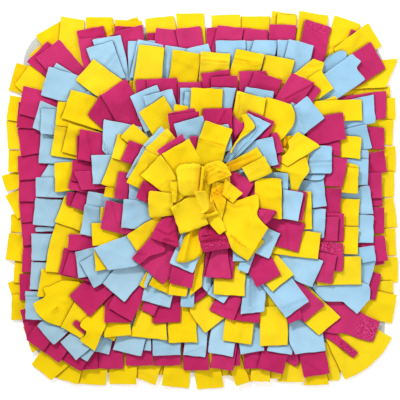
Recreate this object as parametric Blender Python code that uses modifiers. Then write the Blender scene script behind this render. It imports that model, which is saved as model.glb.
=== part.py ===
"""Snuffle mat: a rounded-square base cloth with eleven rings of fringed fleece strip sewn on it, one
inside the other, and a gathered tuft in the middle.

Metres, +Z up. The origin is under the middle of the mat, on the face that lies on the floor.
Each strip is a closed ring: a narrow band sewn flat on the base cloth, with tabs on its outer side
that rise and lie outward over the roots of the next ring, like shingles.
"""

import math
import random

import bmesh
import bpy

MM = 0.001

# ---- driving sizes, millimetres --------------------------------------------------------------
BASE_HALF_X = 206.5
BASE_HALF_Y = 197.0
BASE_MID_X = 4.5  # the base cloth is sewn on a little to the right of the fringe's middle
BASE_CORNER_R = 54.0
BASE_THICK = 2.0

STRIP_THICK = 3.0  # a doubled strip: two fleece leaves of 1.5 mm
SEAT_GAP = 0.3  # between the base cloth and the sewn band
BAND_WIDTH = 5.0  # the uncut band that is sewn down
TAB_PITCH = 31.0  # cut width of a tab and its slit
SLIT = 1.6  # opening of a slit at its root
TAB_WIDTH_MOST = 30.0
TAB_LENGTH = 44.0  # from the seam to the tip
LENGTH_JITTER = 3.0  # how unevenly the tips are cut

RISE_RUN = 9.0  # a tab first climbs over the next band ...
RISE_HEIGHT = 4.0
LEAN = 0.26  # ... and then leans outward at this slope

BAND_Z = BASE_THICK + SEAT_GAP + STRIP_THICK / 2  # middle of the sewn band's thickness

COLOURS = {
    "yellow": (0.98, 0.72, 0.01, 1.0),
    "magenta": (0.70, 0.03, 0.17, 1.0),
    "blue": (0.42, 0.69, 0.86, 1.0),
    "grey": (0.68, 0.68, 0.64, 1.0),
}

# One row for each ring, from the outside in. half_x, half_y and corner_r are the seam line's, in
# millimetres. tabs is 0 where the count follows from the seam's length and the tab pitch. profile
# is how the tabs lie: "edge" flat and drooping past the base cloth, "low" over one ring, "second"
# over two, "lean" on the ones below.
RING_COLUMNS = ("ring", "colour", "half_x", "half_y", "corner_r", "mid_x", "mid_y", "tabs", "profile")
RINGS = (
    (1, "yellow", 180.5, 170.0, 32.0, 0.5, 0.0, 0, "edge"),
    (2, "magenta", 163.5, 154.0, 33.0, 2.0, 1.5, 0, "low"),
    (3, "blue", 146.5, 137.5, 34.0, 3.5, 2.5, 0, "second"),
    (4, "yellow", 130.0, 121.0, 35.0, 5.0, 3.5, 0, "lean"),
    (5, "magenta", 114.0, 106.0, 38.0, 6.0, 4.5, 0, "lean"),
    (6, "blue", 98.0, 91.0, 42.0, 7.0, 5.5, 0, "lean"),
    (7, "yellow", 82.0, 76.0, 47.0, 7.5, 6.5, 0, "lean"),
    (8, "magenta", 66.0, 61.0, 52.0, 8.0, 7.5, 14, "lean"),
    (9, "blue", 50.0, 46.0, 44.0, 8.0, 8.5, 12, "lean"),
    (10, "yellow", 34.5, 32.0, 31.0, 7.5, 9.5, 10, "lean"),
    (11, "magenta", 19.0, 17.5, 17.0, 6.5, 10.5, 8, "lean"),
)

# How high the middle of a tab's thickness is above the sewn band, at each distance from the seam.
PROFILES = {
    "edge": ((20.0, 0.0), (36.0, 0.0), (44.0, -1.5)),
    "low": ((RISE_RUN, RISE_HEIGHT), (44.0, RISE_HEIGHT)),
    "second": (
        (RISE_RUN, RISE_HEIGHT),
        (25.0, RISE_HEIGHT + LEAN * 16.0),
        (44.0, RISE_HEIGHT + LEAN * 16.0),
    ),
    "lean": ((RISE_RUN, RISE_HEIGHT), (44.0, RISE_HEIGHT + LEAN * 35.0)),
}

# The centre tuft: a small sewn disc with tabs that stand up, arch over and fall outward. A row for
# each tab: the way it points, its length along the cloth's plan, how wide its tip is, and whether it
# is one of the low outer tabs or one of the high inner ones.
TUFT_SEAM_R = 7.0
TUFT_MID = (6.0, 11.0)
TUFT_COLUMNS = ("points_to_deg", "reach", "tip_width", "stands")
TUFT_TABS = (
    (20.0, 46.0, 26.0, "low"),
    (56.0, 30.0, 20.0, "high"),
    (93.0, 47.0, 27.0, "low"),
    (129.0, 29.0, 19.0, "high"),
    (165.0, 45.0, 26.0, "low"),
    (202.0, 31.0, 20.0, "high"),
    (238.0, 44.0, 27.0, "low"),
    (275.0, 30.0, 20.0, "high"),
    (311.0, 46.0, 26.0, "low"),
    (346.0, 28.0, 18.0, "high"),
)
# Plan distance from the seam as a share of the tab's reach, and height above the band.
TUFT_PROFILES = {
    "low": ((0.12, 6.0), (0.36, 14.0), (0.68, 18.5), (1.0, 16.5)),
    "high": ((0.16, 13.0), (0.42, 23.5), (0.72, 27.5), (1.0, 25.0)),
}


# ---- shared helpers ----------------------------------------------------------------------------
def clear_scene():
    for obj in list(bpy.data.objects):
        bpy.data.objects.remove(obj)


def cloth_material(colour):
    name = "cloth_" + colour
    found = bpy.data.materials.get(name)
    if found:
        return found
    material = bpy.data.materials.new(name)
    material.use_nodes = True
    shader = material.node_tree.nodes["Principled BSDF"]
    shader.inputs["Base Color"].default_value = COLOURS[colour]
    shader.inputs["Roughness"].default_value = 0.95
    shader.inputs["Metallic"].default_value = 0.0
    material.diffuse_color = COLOURS[colour]
    return material


class RoundedSquare:
    """A seam line: a rectangle with round corners, walked by arc length from the middle of its
    right side, counter-clockwise. at(s) gives the point and the outward direction."""

    def __init__(self, half_x, half_y, corner_r, mid_x=0.0, mid_y=0.0):
        self.mid = (mid_x, mid_y)
        a, b, r = half_x - corner_r, half_y - corner_r, corner_r
        quarter = math.pi / 2 * r
        self.runs = [
            ("line", b, (half_x, 0.0), (0.0, 1.0)),
            ("arc", quarter, (a, b), 0.0),
            ("line", 2 * a, (a, half_y), (-1.0, 0.0)),
            ("arc", quarter, (-a, b), math.pi / 2),
            ("line", 2 * b, (-half_x, b), (0.0, -1.0)),
            ("arc", quarter, (-a, -b), math.pi),
            ("line", 2 * a, (-a, -half_y), (1.0, 0.0)),
            ("arc", quarter, (a, -b), 3 * math.pi / 2),
            ("line", b, (half_x, -b), (0.0, 1.0)),
        ]
        self.r = r
        self.length = sum(run[1] for run in self.runs)

    def at(self, s):
        s %= self.length
        for kind, long, start, heading in self.runs:
            if s <= long + 1e-9:
                break
            s -= long
        if kind == "line":
            x, y = start[0] + heading[0] * s, start[1] + heading[1] * s
            out = (heading[1], -heading[0])
        else:
            turn = heading + (s / self.r if self.r else 0.0)
            out = (math.cos(turn), math.sin(turn))
            x, y = start[0] + self.r * out[0], start[1] + self.r * out[1]
        return (x + self.mid[0], y + self.mid[1]), out


def cloth_from_surface(name, mesh_maker, colour, thick):
    """An open surface made in mm by mesh_maker(bm), given its thickness by a Solidify modifier."""
    mesh = bpy.data.meshes.new(name)
    bm = bmesh.new()
    mesh_maker(bm)
    bmesh.ops.recalc_face_normals(bm, faces=bm.faces[:])
    if sum(f.normal.z * f.calc_area() for f in bm.faces) < 0:
        bmesh.ops.reverse_faces(bm, faces=bm.faces[:])
    bmesh.ops.scale(bm, vec=(MM, MM, MM), verts=bm.verts[:])
    bm.to_mesh(mesh)
    bm.free()
    obj = bpy.data.objects.new(name, mesh)
    mesh.materials.append(cloth_material(colour))
    solid = obj.modifiers.new("cloth_thickness", "SOLIDIFY")
    solid.thickness = thick * MM
    solid.offset = 0.0
    solid.use_even_offset = False
    return obj


def tab_rows(bm, root_a, root_b, out, profile, reach_a, reach_b, tip_width):
    """Adds the rows of one tab beyond its two root vertices and joins them with quads. The tab runs
    along out, and widens or narrows from its root to tip_width. Its two tip corners may differ."""
    (ax, ay), (bx, by) = root_a.co.xy, root_b.co.xy
    mx, my = (ax + bx) / 2, (ay + by) / 2
    side = (-out[1], out[0])
    root_width = math.hypot(bx - ax, by - ay)
    whole = profile[-1][0]
    last = (root_a, root_b)
    for along, height in profile:
        share = along / whole
        width = root_width + (tip_width - root_width) * min(1.0, share * 1.6)
        row = []
        for sign, reach in ((-1, reach_a), (1, reach_b)):
            r = along * reach / whole
            row.append(
                bm.verts.new(
                    (
                        mx + out[0] * r + side[0] * sign * width / 2,
                        my + out[1] * r + side[1] * sign * width / 2,
                        BAND_Z + height,
                    )
                )
            )
        bm.faces.new((last[0], row[0], row[1], last[1]))
        last = row


# ---- the base cloth ------------------------------------------------------------------------------
def base_cloth():
    outline = RoundedSquare(BASE_HALF_X, BASE_HALF_Y, BASE_CORNER_R, BASE_MID_X)
    curve = bpy.data.curves.new("base_cloth", "CURVE")
    curve.dimensions = "2D"
    curve.fill_mode = "BOTH"
    curve.extrude = BASE_THICK / 2 * MM
    per_corner, points = 10, []
    s = 0.0
    for kind, long, _, _ in outline.runs:
        steps = per_corner if kind == "arc" else 1
        points += [outline.at(s + long * i / steps)[0] for i in range(steps)]
        s += long
    points = points[1:]  # the walk starts in the middle of a straight side
    spline = curve.splines.new("POLY")
    spline.points.add(len(points) - 1)
    for point, (x, y) in zip(spline.points, points):
        point.co = (x * MM, y * MM, 0.0, 1.0)
    spline.use_cyclic_u = True
    obj = bpy.data.objects.new("base_cloth", curve)
    obj.location.z = BASE_THICK / 2 * MM
    curve.materials.append(cloth_material("grey"))
    return obj


# ---- a ring of fringed strip ---------------------------------------------------------------------
def ring_strip(row):
    ring = dict(zip(RING_COLUMNS, row))
    dice = random.Random(100 + ring["ring"])
    seam = RoundedSquare(
        ring["half_x"], ring["half_y"], ring["corner_r"], ring["mid_x"], ring["mid_y"]
    )
    count = ring["tabs"] or round(seam.length / TAB_PITCH)
    pitch = seam.length / count
    profile = PROFILES[ring["profile"]]
    is_round = ring["tabs"] > 0
    # On a round ring the tabs spread as they leave the seam, so the tips can be wider than the roots.
    tip_width = min(TAB_WIDTH_MOST, pitch * 1.25) if is_round else pitch - SLIT - 0.4
    z = BAND_Z

    def make(bm):
        outer, inner, stations = [], [], []
        for i in range(count):
            for s in (i * pitch + SLIT / 2, (i + 1) * pitch - SLIT / 2):
                (x, y), out = seam.at(s)
                outer.append(bm.verts.new((x, y, z)))
                inner.append(
                    bm.verts.new((x - out[0] * BAND_WIDTH, y - out[1] * BAND_WIDTH, z))
                )
            stations.append(seam.at((i + 0.5) * pitch)[1])
        for i in range(2 * count):
            j = (i + 1) % (2 * count)
            bm.faces.new((inner[i], outer[i], outer[j], inner[j]))
        for i, out in enumerate(stations):
            cut = TAB_LENGTH + dice.uniform(-LENGTH_JITTER, 0.0)
            skew = dice.uniform(-1.0, 1.0)
            tab_rows(
                bm,
                outer[2 * i],
                outer[2 * i + 1],
                out,
                profile,
                cut + skew,
                cut - skew,
                tip_width,
            )

    return cloth_from_surface(
        f"strip_{ring['ring']:02d}_{ring['colour']}", make, ring["colour"], STRIP_THICK
    )


# ---- the centre tuft -----------------------------------------------------------------------------
def centre_tuft():
    tabs = [dict(zip(TUFT_COLUMNS, row)) for row in TUFT_TABS]

    def make(bm):
        cx, cy = TUFT_MID
        middle = bm.verts.new((cx, cy, BAND_Z))
        rim = []
        count = len(tabs)
        half = math.pi / count - 0.045
        for tab in tabs:
            turn = math.radians(tab["points_to_deg"])
            pair = []
            for a in (turn - half, turn + half):
                pair.append(
                    bm.verts.new(
                        (
                            cx + TUFT_SEAM_R * math.cos(a),
                            cy + TUFT_SEAM_R * math.sin(a),
                            BAND_Z,
                        )
                    )
                )
            rim += pair
            profile = [
                (share * tab["reach"], height)
                for share, height in TUFT_PROFILES[tab["stands"]]
            ]
            tab_rows(
                bm,
                pair[0],
                pair[1],
                (math.cos(turn), math.sin(turn)),
                profile,
                tab["reach"],
                tab["reach"],
                tab["tip_width"],
            )
        for i in range(len(rim)):
            bm.faces.new((middle, rim[i], rim[(i + 1) % len(rim)]))

    return cloth_from_surface("centre_tuft_yellow", make, "yellow", STRIP_THICK)


def main():
    clear_scene()
    mat = bpy.data.collections.new("snuffle_mat")
    bpy.context.scene.collection.children.link(mat)
    for obj in [base_cloth(), *(ring_strip(row) for row in RINGS), centre_tuft()]:
        mat.objects.link(obj)


main()
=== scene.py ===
import math
import random

import bpy
import numpy as np
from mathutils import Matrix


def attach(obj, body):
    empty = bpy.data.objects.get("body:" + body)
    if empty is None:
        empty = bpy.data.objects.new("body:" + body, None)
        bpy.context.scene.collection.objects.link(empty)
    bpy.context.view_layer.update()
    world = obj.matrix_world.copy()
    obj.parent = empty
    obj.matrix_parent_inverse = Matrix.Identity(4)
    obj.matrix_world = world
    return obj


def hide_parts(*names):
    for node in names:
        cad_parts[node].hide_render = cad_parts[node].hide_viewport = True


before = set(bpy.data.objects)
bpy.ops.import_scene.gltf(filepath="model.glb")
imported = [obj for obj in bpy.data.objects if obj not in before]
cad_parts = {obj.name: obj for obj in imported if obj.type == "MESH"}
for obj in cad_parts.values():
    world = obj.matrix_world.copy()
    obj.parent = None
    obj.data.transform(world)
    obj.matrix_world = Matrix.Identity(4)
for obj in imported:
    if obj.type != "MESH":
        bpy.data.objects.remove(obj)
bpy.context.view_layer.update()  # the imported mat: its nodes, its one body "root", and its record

# Snuffle mat. Every fleece tab is a thin leaf of cloth, cut by hand, that leaves its seam on the base
# cloth, climbs over the tabs sewn further out and lies on them. The tables give each leaf its place by
# the two corners of its tip; the pile below works out how high each point of it lies.
# Lengths in the tables and in the pile are millimetres; meshes are made in metres.

MM = 0.001

# ---- sizes ---------------------------------------------------------------------------------------
LEAF_THICK = 1.4
LEAF_LENGTH = 44.0
CUT_ROUNDING = 0.42  # how far the cut edge of a leaf is rounded off
PILE_CELL = 0.75  # spacing of the height map that the leaves are laid on
LAY_GAP = 0.12  # between a leaf and what it lies on
BASE_UNDERSIDE = 0.35
BASE_TOP = 2.0
BAND_THICK = 1.5
BAND_WIDTH = 5.0
BASE_HALF = (206.5, 197.0)
BASE_CORNER_R = (44.0, 68.0, 54.0)  # upper left, lower left, both on the right
BASE_MID_X = 4.5

COLOURS = {  # the fleece's own colour, a deeper and a paler tone of it, its duller tone for painted shade and purer tone for painted light across the mat, and its tones for painted shade in a fold and where it is shut in
    # tones in a fold and where it is shut in
    "yellow": {"main": (0.955, 0.700, 0.003), "deep": (0.90, 0.60, 0.001), "pale": (1.0, 0.80, 0.08),
               "dull_in_painted_shade": (0.87, 0.61, 0.0), "pure_in_painted_light": (0.95, 0.73, 0.010),
               "fold": (0.86, 0.36, 0.0), "painted_occlusion_shade": (0.17, 0.070, 0.0), "sheen": (1.0, 0.85, 0.03)},
    "magenta": {"main": (0.60, 0.024, 0.150), "deep": (0.42, 0.010, 0.085), "pale": (0.82, 0.10, 0.32),
                "dull_in_painted_shade": (0.45, 0.012, 0.088), "pure_in_painted_light": (0.56, 0.028, 0.145),
                "fold": (0.36, 0.003, 0.045), "painted_occlusion_shade": (0.06, 0.0, 0.010), "sheen": (0.9, 0.15, 0.4)},
    "blue": {"main": (0.410, 0.675, 0.880), "deep": (0.30, 0.53, 0.72), "pale": (0.66, 0.84, 0.95),
             "dull_in_painted_shade": (0.315, 0.470, 0.550), "pure_in_painted_light": (0.295, 0.585, 0.850),
             "fold": (0.21, 0.37, 0.50), "painted_occlusion_shade": (0.035, 0.075, 0.11), "sheen": (0.7, 0.88, 1.0)},
}

# Seam lines of the eleven sewn bands: half sizes, corner radius and middle.
SEAM_COLUMNS = ("node", "colour", "half_x", "half_y", "corner_r", "mid_x", "mid_y")
SEAMS = (
    ("strip_01_yellow", "yellow", 180.5, 170.0, 32.0, 0.5, 0.0),
    ("strip_02_magenta", "magenta", 163.5, 154.0, 33.0, 2.0, 1.5),
    ("strip_03_blue", "blue", 146.5, 137.5, 34.0, 3.5, 2.5),
    ("strip_04_yellow", "yellow", 130.0, 121.0, 35.0, 5.0, 3.5),
    ("strip_05_magenta", "magenta", 114.0, 106.0, 38.0, 6.0, 4.5),
    ("strip_06_blue", "blue", 98.0, 91.0, 42.0, 7.0, 5.5),
    ("strip_07_yellow", "yellow", 82.0, 76.0, 47.0, 7.5, 6.5),
    ("strip_08_magenta", "magenta", 66.0, 61.0, 52.0, 8.0, 7.5),
    ("strip_09_blue", "blue", 50.0, 46.0, 44.0, 8.0, 8.5),
    ("strip_10_yellow", "yellow", 34.5, 32.0, 31.0, 7.5, 9.5),
    ("strip_11_magenta", "magenta", 19.0, 17.5, 17.0, 6.5, 10.5),
    ("centre_tuft_yellow", "yellow", 7.0, 7.0, 7.0, 6.0, 11.0),
)
SEAM = {row[0]: dict(zip(SEAM_COLUMNS, row)) for row in SEAMS}
NODE = {
    "y1": "strip_01_yellow", "m2": "strip_02_magenta", "b3": "strip_03_blue", "y4": "strip_04_yellow",
    "m5": "strip_05_magenta", "b6": "strip_06_blue", "y7": "strip_07_yellow", "m8": "strip_08_magenta",
    "b9": "strip_09_blue", "y10": "strip_10_yellow", "m11": "strip_11_magenta", "y12": "centre_tuft_yellow",
}

# How a ring's leaves lie: arch is how high the middle of a leaf bulges over what it lies on, lift how
# far its tip stands up, cup how much its sides curl up, all at most, in mm. cell is its mesh's spacing.
LIE_COLUMNS = ("ring", "arch", "lift", "cup", "cell")
LIE = {row[0]: dict(zip(LIE_COLUMNS, row)) for row in (
    ("y1", 0.5, 1.0, 0.4, 2.3),
    ("m2", 0.8, 1.3, 0.5, 2.3),
    ("b3", 0.9, 1.4, 0.6, 2.3),
    ("y4", 1.0, 1.5, 0.6, 2.3),
    ("m5", 1.0, 1.5, 0.6, 2.3),
    ("b6", 1.0, 1.6, 0.6, 2.3),
    ("y7", 1.0, 1.6, 0.7, 2.3),
    ("m8", 1.1, 1.7, 0.7, 2.0),
    ("b9", 1.2, 1.7, 0.7, 2.0),
    ("m11", 1.2, 1.7, 0.7, 1.5),
    ("y10", 1.3, 1.8, 0.8, 1.5),
    ("y12", 1.4, 1.8, 0.8, 1.3),
)}
MIDDLE = (6.0, 8.0)  # the leaves point away from here

# The leaves, in the order in which they lie on each other, the lowest first. Each row is the ring, the
# two corners of the leaf's tip, its length back to its root, and how many degrees its axis is turned
# from square to the tip's edge (+ is counter-clockwise). A last column, where there is one, holds what
# is special about how that leaf lies.
LEAF_COLUMNS = ("ring", "tip_ax", "tip_ay", "tip_bx", "tip_by", "length", "turn")
L = LEAF_LENGTH
LEAVES = [
    # ring 1, yellow, clockwise from the top-left corner
    ("y1", -195, 165, -171.5, 185.3, L, 0),
    ("y1", -187, 187.5, -159, 204, L, 0),
    ("y1", -158.5, 209.5, -131.5, 205, 64, 7, {"root_width": 1.2}),
    ("y1", -130.5, 208.5, -99.5, 208.5, L, 0),
    ("y1", -100, 200, -71, 209, L, -8),
    ("y1", -97, 205, -66, 204, L, 0),
    ("y1", -62.5, 207, -30, 210.5, L, 0, {"root_width": 1.25}),
    ("y1", -27.5, 213, 4.5, 213, L, 4),
    ("y1", 47, 209.5, 80, 209.5, L, 0),
    ("y1", 12.5, 211, 46, 211.5, L, 0),
    ("y1", 82, 216, 110.5, 211.5, L, 0),
    ("y1", 88.5, 212.5, 111, 209.5, L, 0),
    ("y1", 113, 215.5, 146.5, 210.5, L, 0),
    ("y1", 153.5, 211, 183, 200.5, 64, 3),
    ("m2", 172.5, 195, 179, 192, 20, 0, {"root_width": 0.5}),
    ("y1", 191.8, 202, 207.5, 176, 50, 6),
    ("y1", 217, 129.5, 216.5, 100, 62, 0),
    ("y1", 226, 161, 211.5, 128, 54, 27),
    ("y1", 222.5, 117, 222.5, 91, L, 0),
    ("y1", 220.5, 91, 219.5, 62, L, 0),
    ("y1", 222.5, 61.7, 223.5, 32, L, 0),
    ("y1", 221.5, 32, 221.5, 3, L, 0),
    ("y1", 220.5, 3.2, 225.5, -31, L, 0),
    ("y1", 223, -32, 224, -63, L, 0),
    ("y1", 225.5, -65, 226, -94, L, 0),
    ("y1", 220, -92, 221.5, -118, L, 0),
    ("y1", 224.5, -108, 219, -141, L, 0),
    ("y1", 159, -206, 135, -206, L, 0),
    ("y1", 219, -157, 165, -205, 60, 0, {"bulge": 7.3, "root_width": 0.5, "left": ((185, -131), (203.6, -148)), "bow": 0, "cell": 1.9, "creases": ((0.42, 0.3, 0.40, 0.8, 0.8, 4.0),)}),
    ("y1", 147, -210.5, 119, -211.5, L, 0, {"root_width": 0.6}),
    ("y1", 118, -207.5, 89, -207.5, L, 0),
    ("y1", 92, -204, 76, -203, L, 0),
    ("y1", 43, -199, 24, -201, L, 0),
    ("y1", -35, -200, -54, -199, L, 0),
    ("y1", 60, -208, 33, -200, L, 0),
    ("y1", 57, -207, 41, -212, L, 3),
    ("y1", 80, -207, 58, -206, L, 0),
    ("y1", 27.5, -213.5, -3, -216, L, 3),
    ("y1", -13, -215, -43.5, -211.5, 70, 0),
    ("y1", -50.5, -211, -77, -201, L, 3),
    ("y1", -72.5, -210, -103.5, -210, L, 0, {"root_width": 1.15}),
    ("y1", -107.5, -211.5, -139, -209.5, L, 0, {"root_width": 1.15}),
    ("y1", -139.5, -210, -168, -202, L, 0),
    ("y1", -191.5, -174, -202, -145, L, 0),
    ("y1", -169.5, -205.5, -192, -187.5, L, 0, {"root_width": 1.45}),
    ("y1", -213, -116, -219.5, -94, L, 0),
    ("y1", -215.5, -137, -214.5, -108, L, 0),
    ("y1", -213, -94, -211, -68, L, 0),
    ("y1", -216, -37, -216, -16, L, 0),
    ("y1", -222, -68, -218, -37, L, 0),
    ("y1", -208, -22, -222, 4.5, L, 0),
    ("y1", -220.5, 9.5, -226.5, 28, L, 0),
    ("y1", -218.5, 32, -218.5, 57.5, L, 0),
    ("y1", -219, 58, -221, 91, L, 0),
    ("y1", -221, 92, -216.5, 119.5, L, 0),
    ("y1", -218.5, 125, -209.5, 156.5, L, 0, {"tone": -1.0, "creases": (), "painted_shade_spots": ((0.5, 0.9, 1.0, 0.5, 0.25),)}),
    ("y1", -211, 131.5, -192, 156, 48, -8),
    # ring 2, magenta
    ("m2", -197.5, 157, -173.5, 180.5, L, 7),
    ("m2", -187, 161.5, -160, 182.5, 48, 3),
    ("m2", -141, 192, -110, 198.5, L, 2),
    ("m2", -138.5, 183, -108, 186, L, 6),
    ("m2", -104, 187, -80, 193, L, 6),
    ("m2", -97, 197.5, -68, 196.5, L, 0),
    ("m2", -96, 191, -65, 199, L, -8),
    ("m2", -60.5, 190, -32, 192, L, 0),
    ("m2", -50, 196, -21, 193, L, 0),
    ("m2", -28, 194.5, 0.5, 198, L, 3),
    ("m2", 7.5, 196, 36, 197, L, 0),
    ("m2", 49, 196, 77.5, 193.5, L, 0),
    ("m2", 20, 199, 50, 195.5, L, -8),
    ("m2", 79, 200, 109.5, 198.5, L, 0),
    ("m2", 120, 205.5, 149.5, 197, 48, 5, {"cell": 1.2, "specks": ((0.5, 0.9, 0.6, 0.2, 0.5),),
        "creases": ((0.17, 0.84, 0.17, 1.0, -0.9, 0.8), (0.34, 0.86, 0.33, 1.0, -0.8, 0.8), (0.5, 0.85, 0.5, 1.0, -0.9, 0.8), (0.66, 0.86, 0.67, 1.0, -0.8, 0.8), (0.82, 0.84, 0.83, 1.0, -0.9, 0.8))}),
    ("m2", 194.5, 180.5, 211, 150, 44, 4),
    ("m2", 212, 124.5, 211.5, 93, 60, 9),
    ("m2", 210, 82, 209.5, 57, L, 0),
    ("m2", 209, 56.5, 213, 32, L, 0),
    ("m2", 206.5, 20, 208, -7, L, 0),
    ("m2", 206.5, 31, 207, 2, L, 0),
    ("m2", 209.5, -8, 209.5, -38, L, 0),
    ("m2", 206, -42, 209.5, -73, L, 0),
    ("m2", 209.5, -40, 214, -69, L, 0),
    ("m2", 206.5, -84, 199.5, -114, L, 0),
    ("m2", 180, -174, 175, -180.5, 50, 2, {"root_width": 1.0, "left": ((150, -143), (159, -155.5)), "right": ((143.5, -157), (151, -161.5)), "bow": 0, "cell": 1.7, "specks": ((0.5, 0.75, 0.7, 0.35, 0.7),)}),
    ("m2", 205, -139, 197, -161.5, 66, 0, {"root_width": 1.8, "right": ((150, -151), (166, -151.5), (181, -157)), "specks": ((0.5, 0.85, 0.6, 0.28, 1.0),)}),
    ("m2", 110, -190, 92, -181, L, 0),
    ("m2", 148, -197, 118.5, -202, L, 2),
    ("m2", 46, -188, 30, -188, L, 0),
    ("m2", 78, -191, 50, -192, L, 0),
    ("m2", 94, -198, 65, -190.5, L, 0),
    ("m2", 37.5, -194, 11, -190.5, L, 0),
    ("m2", 10.5, -193.5, -19, -194, L, 0),
    ("m2", -22, -188, -52, -188.5, L, 0),
    ("m2", -53, -188, -84, -188.5, L, 0),
    ("m2", -87, -192, -118, -191.5, L, 0),
    ("m2", -116, -192, -137, -194, L, 0),
    ("m2", -135, -195, -158, -181, L, 0),
    ("m2", -197, -160, -202, -137, L, 0),
    ("m2", -160, -185, -182, -170, L, 0),
    ("m2", -178, -172, -198, -159, L, 0),
    ("m2", -202, -137, -204.5, -125, L, 0),
    ("m2", -205, -114, -205.5, -84, L, 0),
    ("m2", -203, -82, -201, -50, L, 0),
    ("m2", -201.5, -52, -203.5, -24, L, 0),
    ("m2", -204, -26, -206.5, 3, L, 0),
    ("m2", -206, -2, -206, 23.5, L, 0),
    ("m2", -205.5, 22, -208, 50, L, 0),
    ("m2", -203.5, 50, -208, 82, L, 0),
    ("m2", -208.5, 82.5, -206.5, 112, L, 0),
    ("m2", -206, 98, -201, 130, L, -5),
    # ring 3, blue
    ("b3", -179, 130, -163, 155.5, 62, 0),
    ("b3", -152, 121, -137, 141, 46, 0, {"tone": -0.3, "rise": 2.0}),
    ("b3", -181, 119, -171, 151, 50, 0),
    ("b3", -131, 118, -121, 131, 26, 0, {"tone": 0.8, "rise": 2.0}),
    ("b3", -122, 182, -90, 186.5, 52, 4),
    ("b3", -129, 172, -99, 180, L, 5),
    ("b3", -81.5, 180, -51, 181, L, 0),
    ("b3", -70, 182, -41, 175.5, L, 0),
    ("b3", -39, 175.5, -10, 171, L, 0),
    ("b3", -16, 171, 9, 178, L, 0),
    ("b3", 52, 181, 64, 181, L, 0),
    ("b3", 17.5, 181, 51.5, 181, L, 0),
    ("b3", 61.5, 181.5, 90, 181, L, -14),
    ("b3", 88, 182, 108, 181, L, 0),
    ("b3", 101, 182.5, 129.5, 175.5, L, 0),
    ("b3", 141, 161.5, 168, 172.5, L, -30, {"corner": 9, "tone": -1.0, "bulge": 1.0, "painted_shade_spots": ((0.5, 0.7, 0.9, 0.5, 0.35),)}),
    ("b3", 150, 127, 156, 106, 56, 0),
    ("b3", 172.3, 166, 183, 157.3, 66, -14, {"root_width": 3, "left": ((139.5, 142.5),), "right": ((157, 115.5), (183, 133.5), (187, 137.5), (178, 149.5)), "bow": 0, "cell": 1.6, "lift": 1.2}),
    ("b3", 197, 120, 199.5, 88, L, 8),
    ("b3", 188.5, 86, 195.5, 59, L, 0),
    ("b3", 191.5, 56, 190.5, 30, L, 0),
    ("b3", 191, 46, 190.5, 16, L, 0),
    ("b3", 192, 16, 197, -16, L, 0),
    ("b3", 197, -17.5, 197, -49, L, 0),
    ("b3", 200, -68, 191.5, -100, L, 0),
    ("b3", 197.5, -51.5, 199.5, -69, L, 0),
    ("b3", 172, -97, 172, -114, 62, 0),
    ("b3", 193, -113, 178, -129.5, 58, 0, {"root_width": 2.0, "left": ((181, -91), (192, -98)), "right": ((139, -114), (161, -115.5), (165, -118)), "bow": 0, "cell": 1.6,
        "arch": 0.6, "creases": ((0.7, 0.2, 0.62, 0.6, 0.8, 4.0),)}),
    ("b3", 104, -176, 76, -171, L, 0),
    ("b3", 143, -171.5, 108, -175, L, 5, {"right": ((100.5, -134), (101, -158)), "bow": 0}),
    ("b3", 73, -170.5, 46, -175.5, L, 0),
    ("b3", 37.5, -178, 9, -173, L, 0),
    ("b3", 6, -179, -19, -176, L, 0),
    ("b3", -22, -176, -53.5, -177, L, 0),
    ("b3", -55.5, -171, -76, -171, L, 0),
    ("b3", -67, -177.5, -99, -170, L, 0),
    ("b3", -103.5, -176, -120, -171.5, L, 0),
    ("b3", -128, -183.5, -146, -172, L, 0),
    ("b3", -140.5, -181.5, -159, -161, L, 0),
    ("b3", -165.5, -164.5, -185, -143, L, 0),
    ("b3", -198, -135.5, -198.5, -103.5, L, 0, {"creases": ((0.83, 0.6, 0.82, 1.0, -2.2, 1.2),)}),
    ("b3", -193.5, -101.5, -191, -70, L, 0),
    ("b3", -191, -68.5, -191.5, -38, L, 0),
    ("b3", -187, -36, -187, -31, L, 0),
    ("b3", -190, -28, -187, 3, L, 0),
    ("b3", -181.5, 24.5, -164, 14, L, 0, {"out": 238}),
    ("b3", -186.5, 3.5, -186, 26, L, 0),
    ("b3", -183.5, 42, -180.5, 78, L, 0),
    ("b3", -190, 82, -180.5, 113, L, -6),
    ("b3", -181, 75, -179.5, 104, L, -4),
    # ring 4, yellow
    ("y4", -164, 84, -161, 112, L, 0),
    ("y4", -169.5, 50.5, -163.5, 84, L, 0),
    ("y4", -157, 54.5, -148.5, 86.5, L, 0),
    ("y4", -157, 92.5, -145.5, 125, 50, 2),
    ("y4", -140.5, 135.5, -120.5, 160, L, 3),
    ("y4", -80, 135.5, -71, 134.5, 30, 0, {"root_width": 0.9}),
    ("y4", -69, 176, -40.5, 172.5, 62, 0, {"root_width": 1.15}),
    ("y4", -31, 170.5, 1, 165.5, L, 0),
    ("y4", 1, 168.5, 34.5, 166, L, 0, {"creases": ((0.05, 0.76, 0.9, 0.77, -2.2, 1.1),)}),
    ("y4", 74.5, 165, 107.5, 158.5, L, 0),
    ("y4", 41, 171.5, 73.5, 165, L, -4, {"creases": ((0.03, 0.73, 0.85, 0.76, -2.2, 1.1), (0.45, 0.66, 0.85, 0.74, -1.4, 1.0))}),
    ("y4", 128.5, 160.3, 141, 156.3, L, 0, {"root_width": 1.8, "left": ((103, 138), (112, 147)), "bow": 0, "cell": 1.7}),
    ("y4", 137, 148, 151.5, 126, 60, 0),
    ("y4", 150, 115, 166, 93, L, 0),
    ("y4", 153.3, 118, 158, 110.5, 38, -10, {"root_width": 1.5}),
    ("y4", 183, 114.2, 184, 90, 58, 0),
    ("y4", 183.5, 71, 181.5, 46, L, 0),
    ("y4", 179.5, 39, 178.5, 10, L, -10),
    ("y4", 179.5, 36, 178.5, 7, L, 0),
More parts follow.
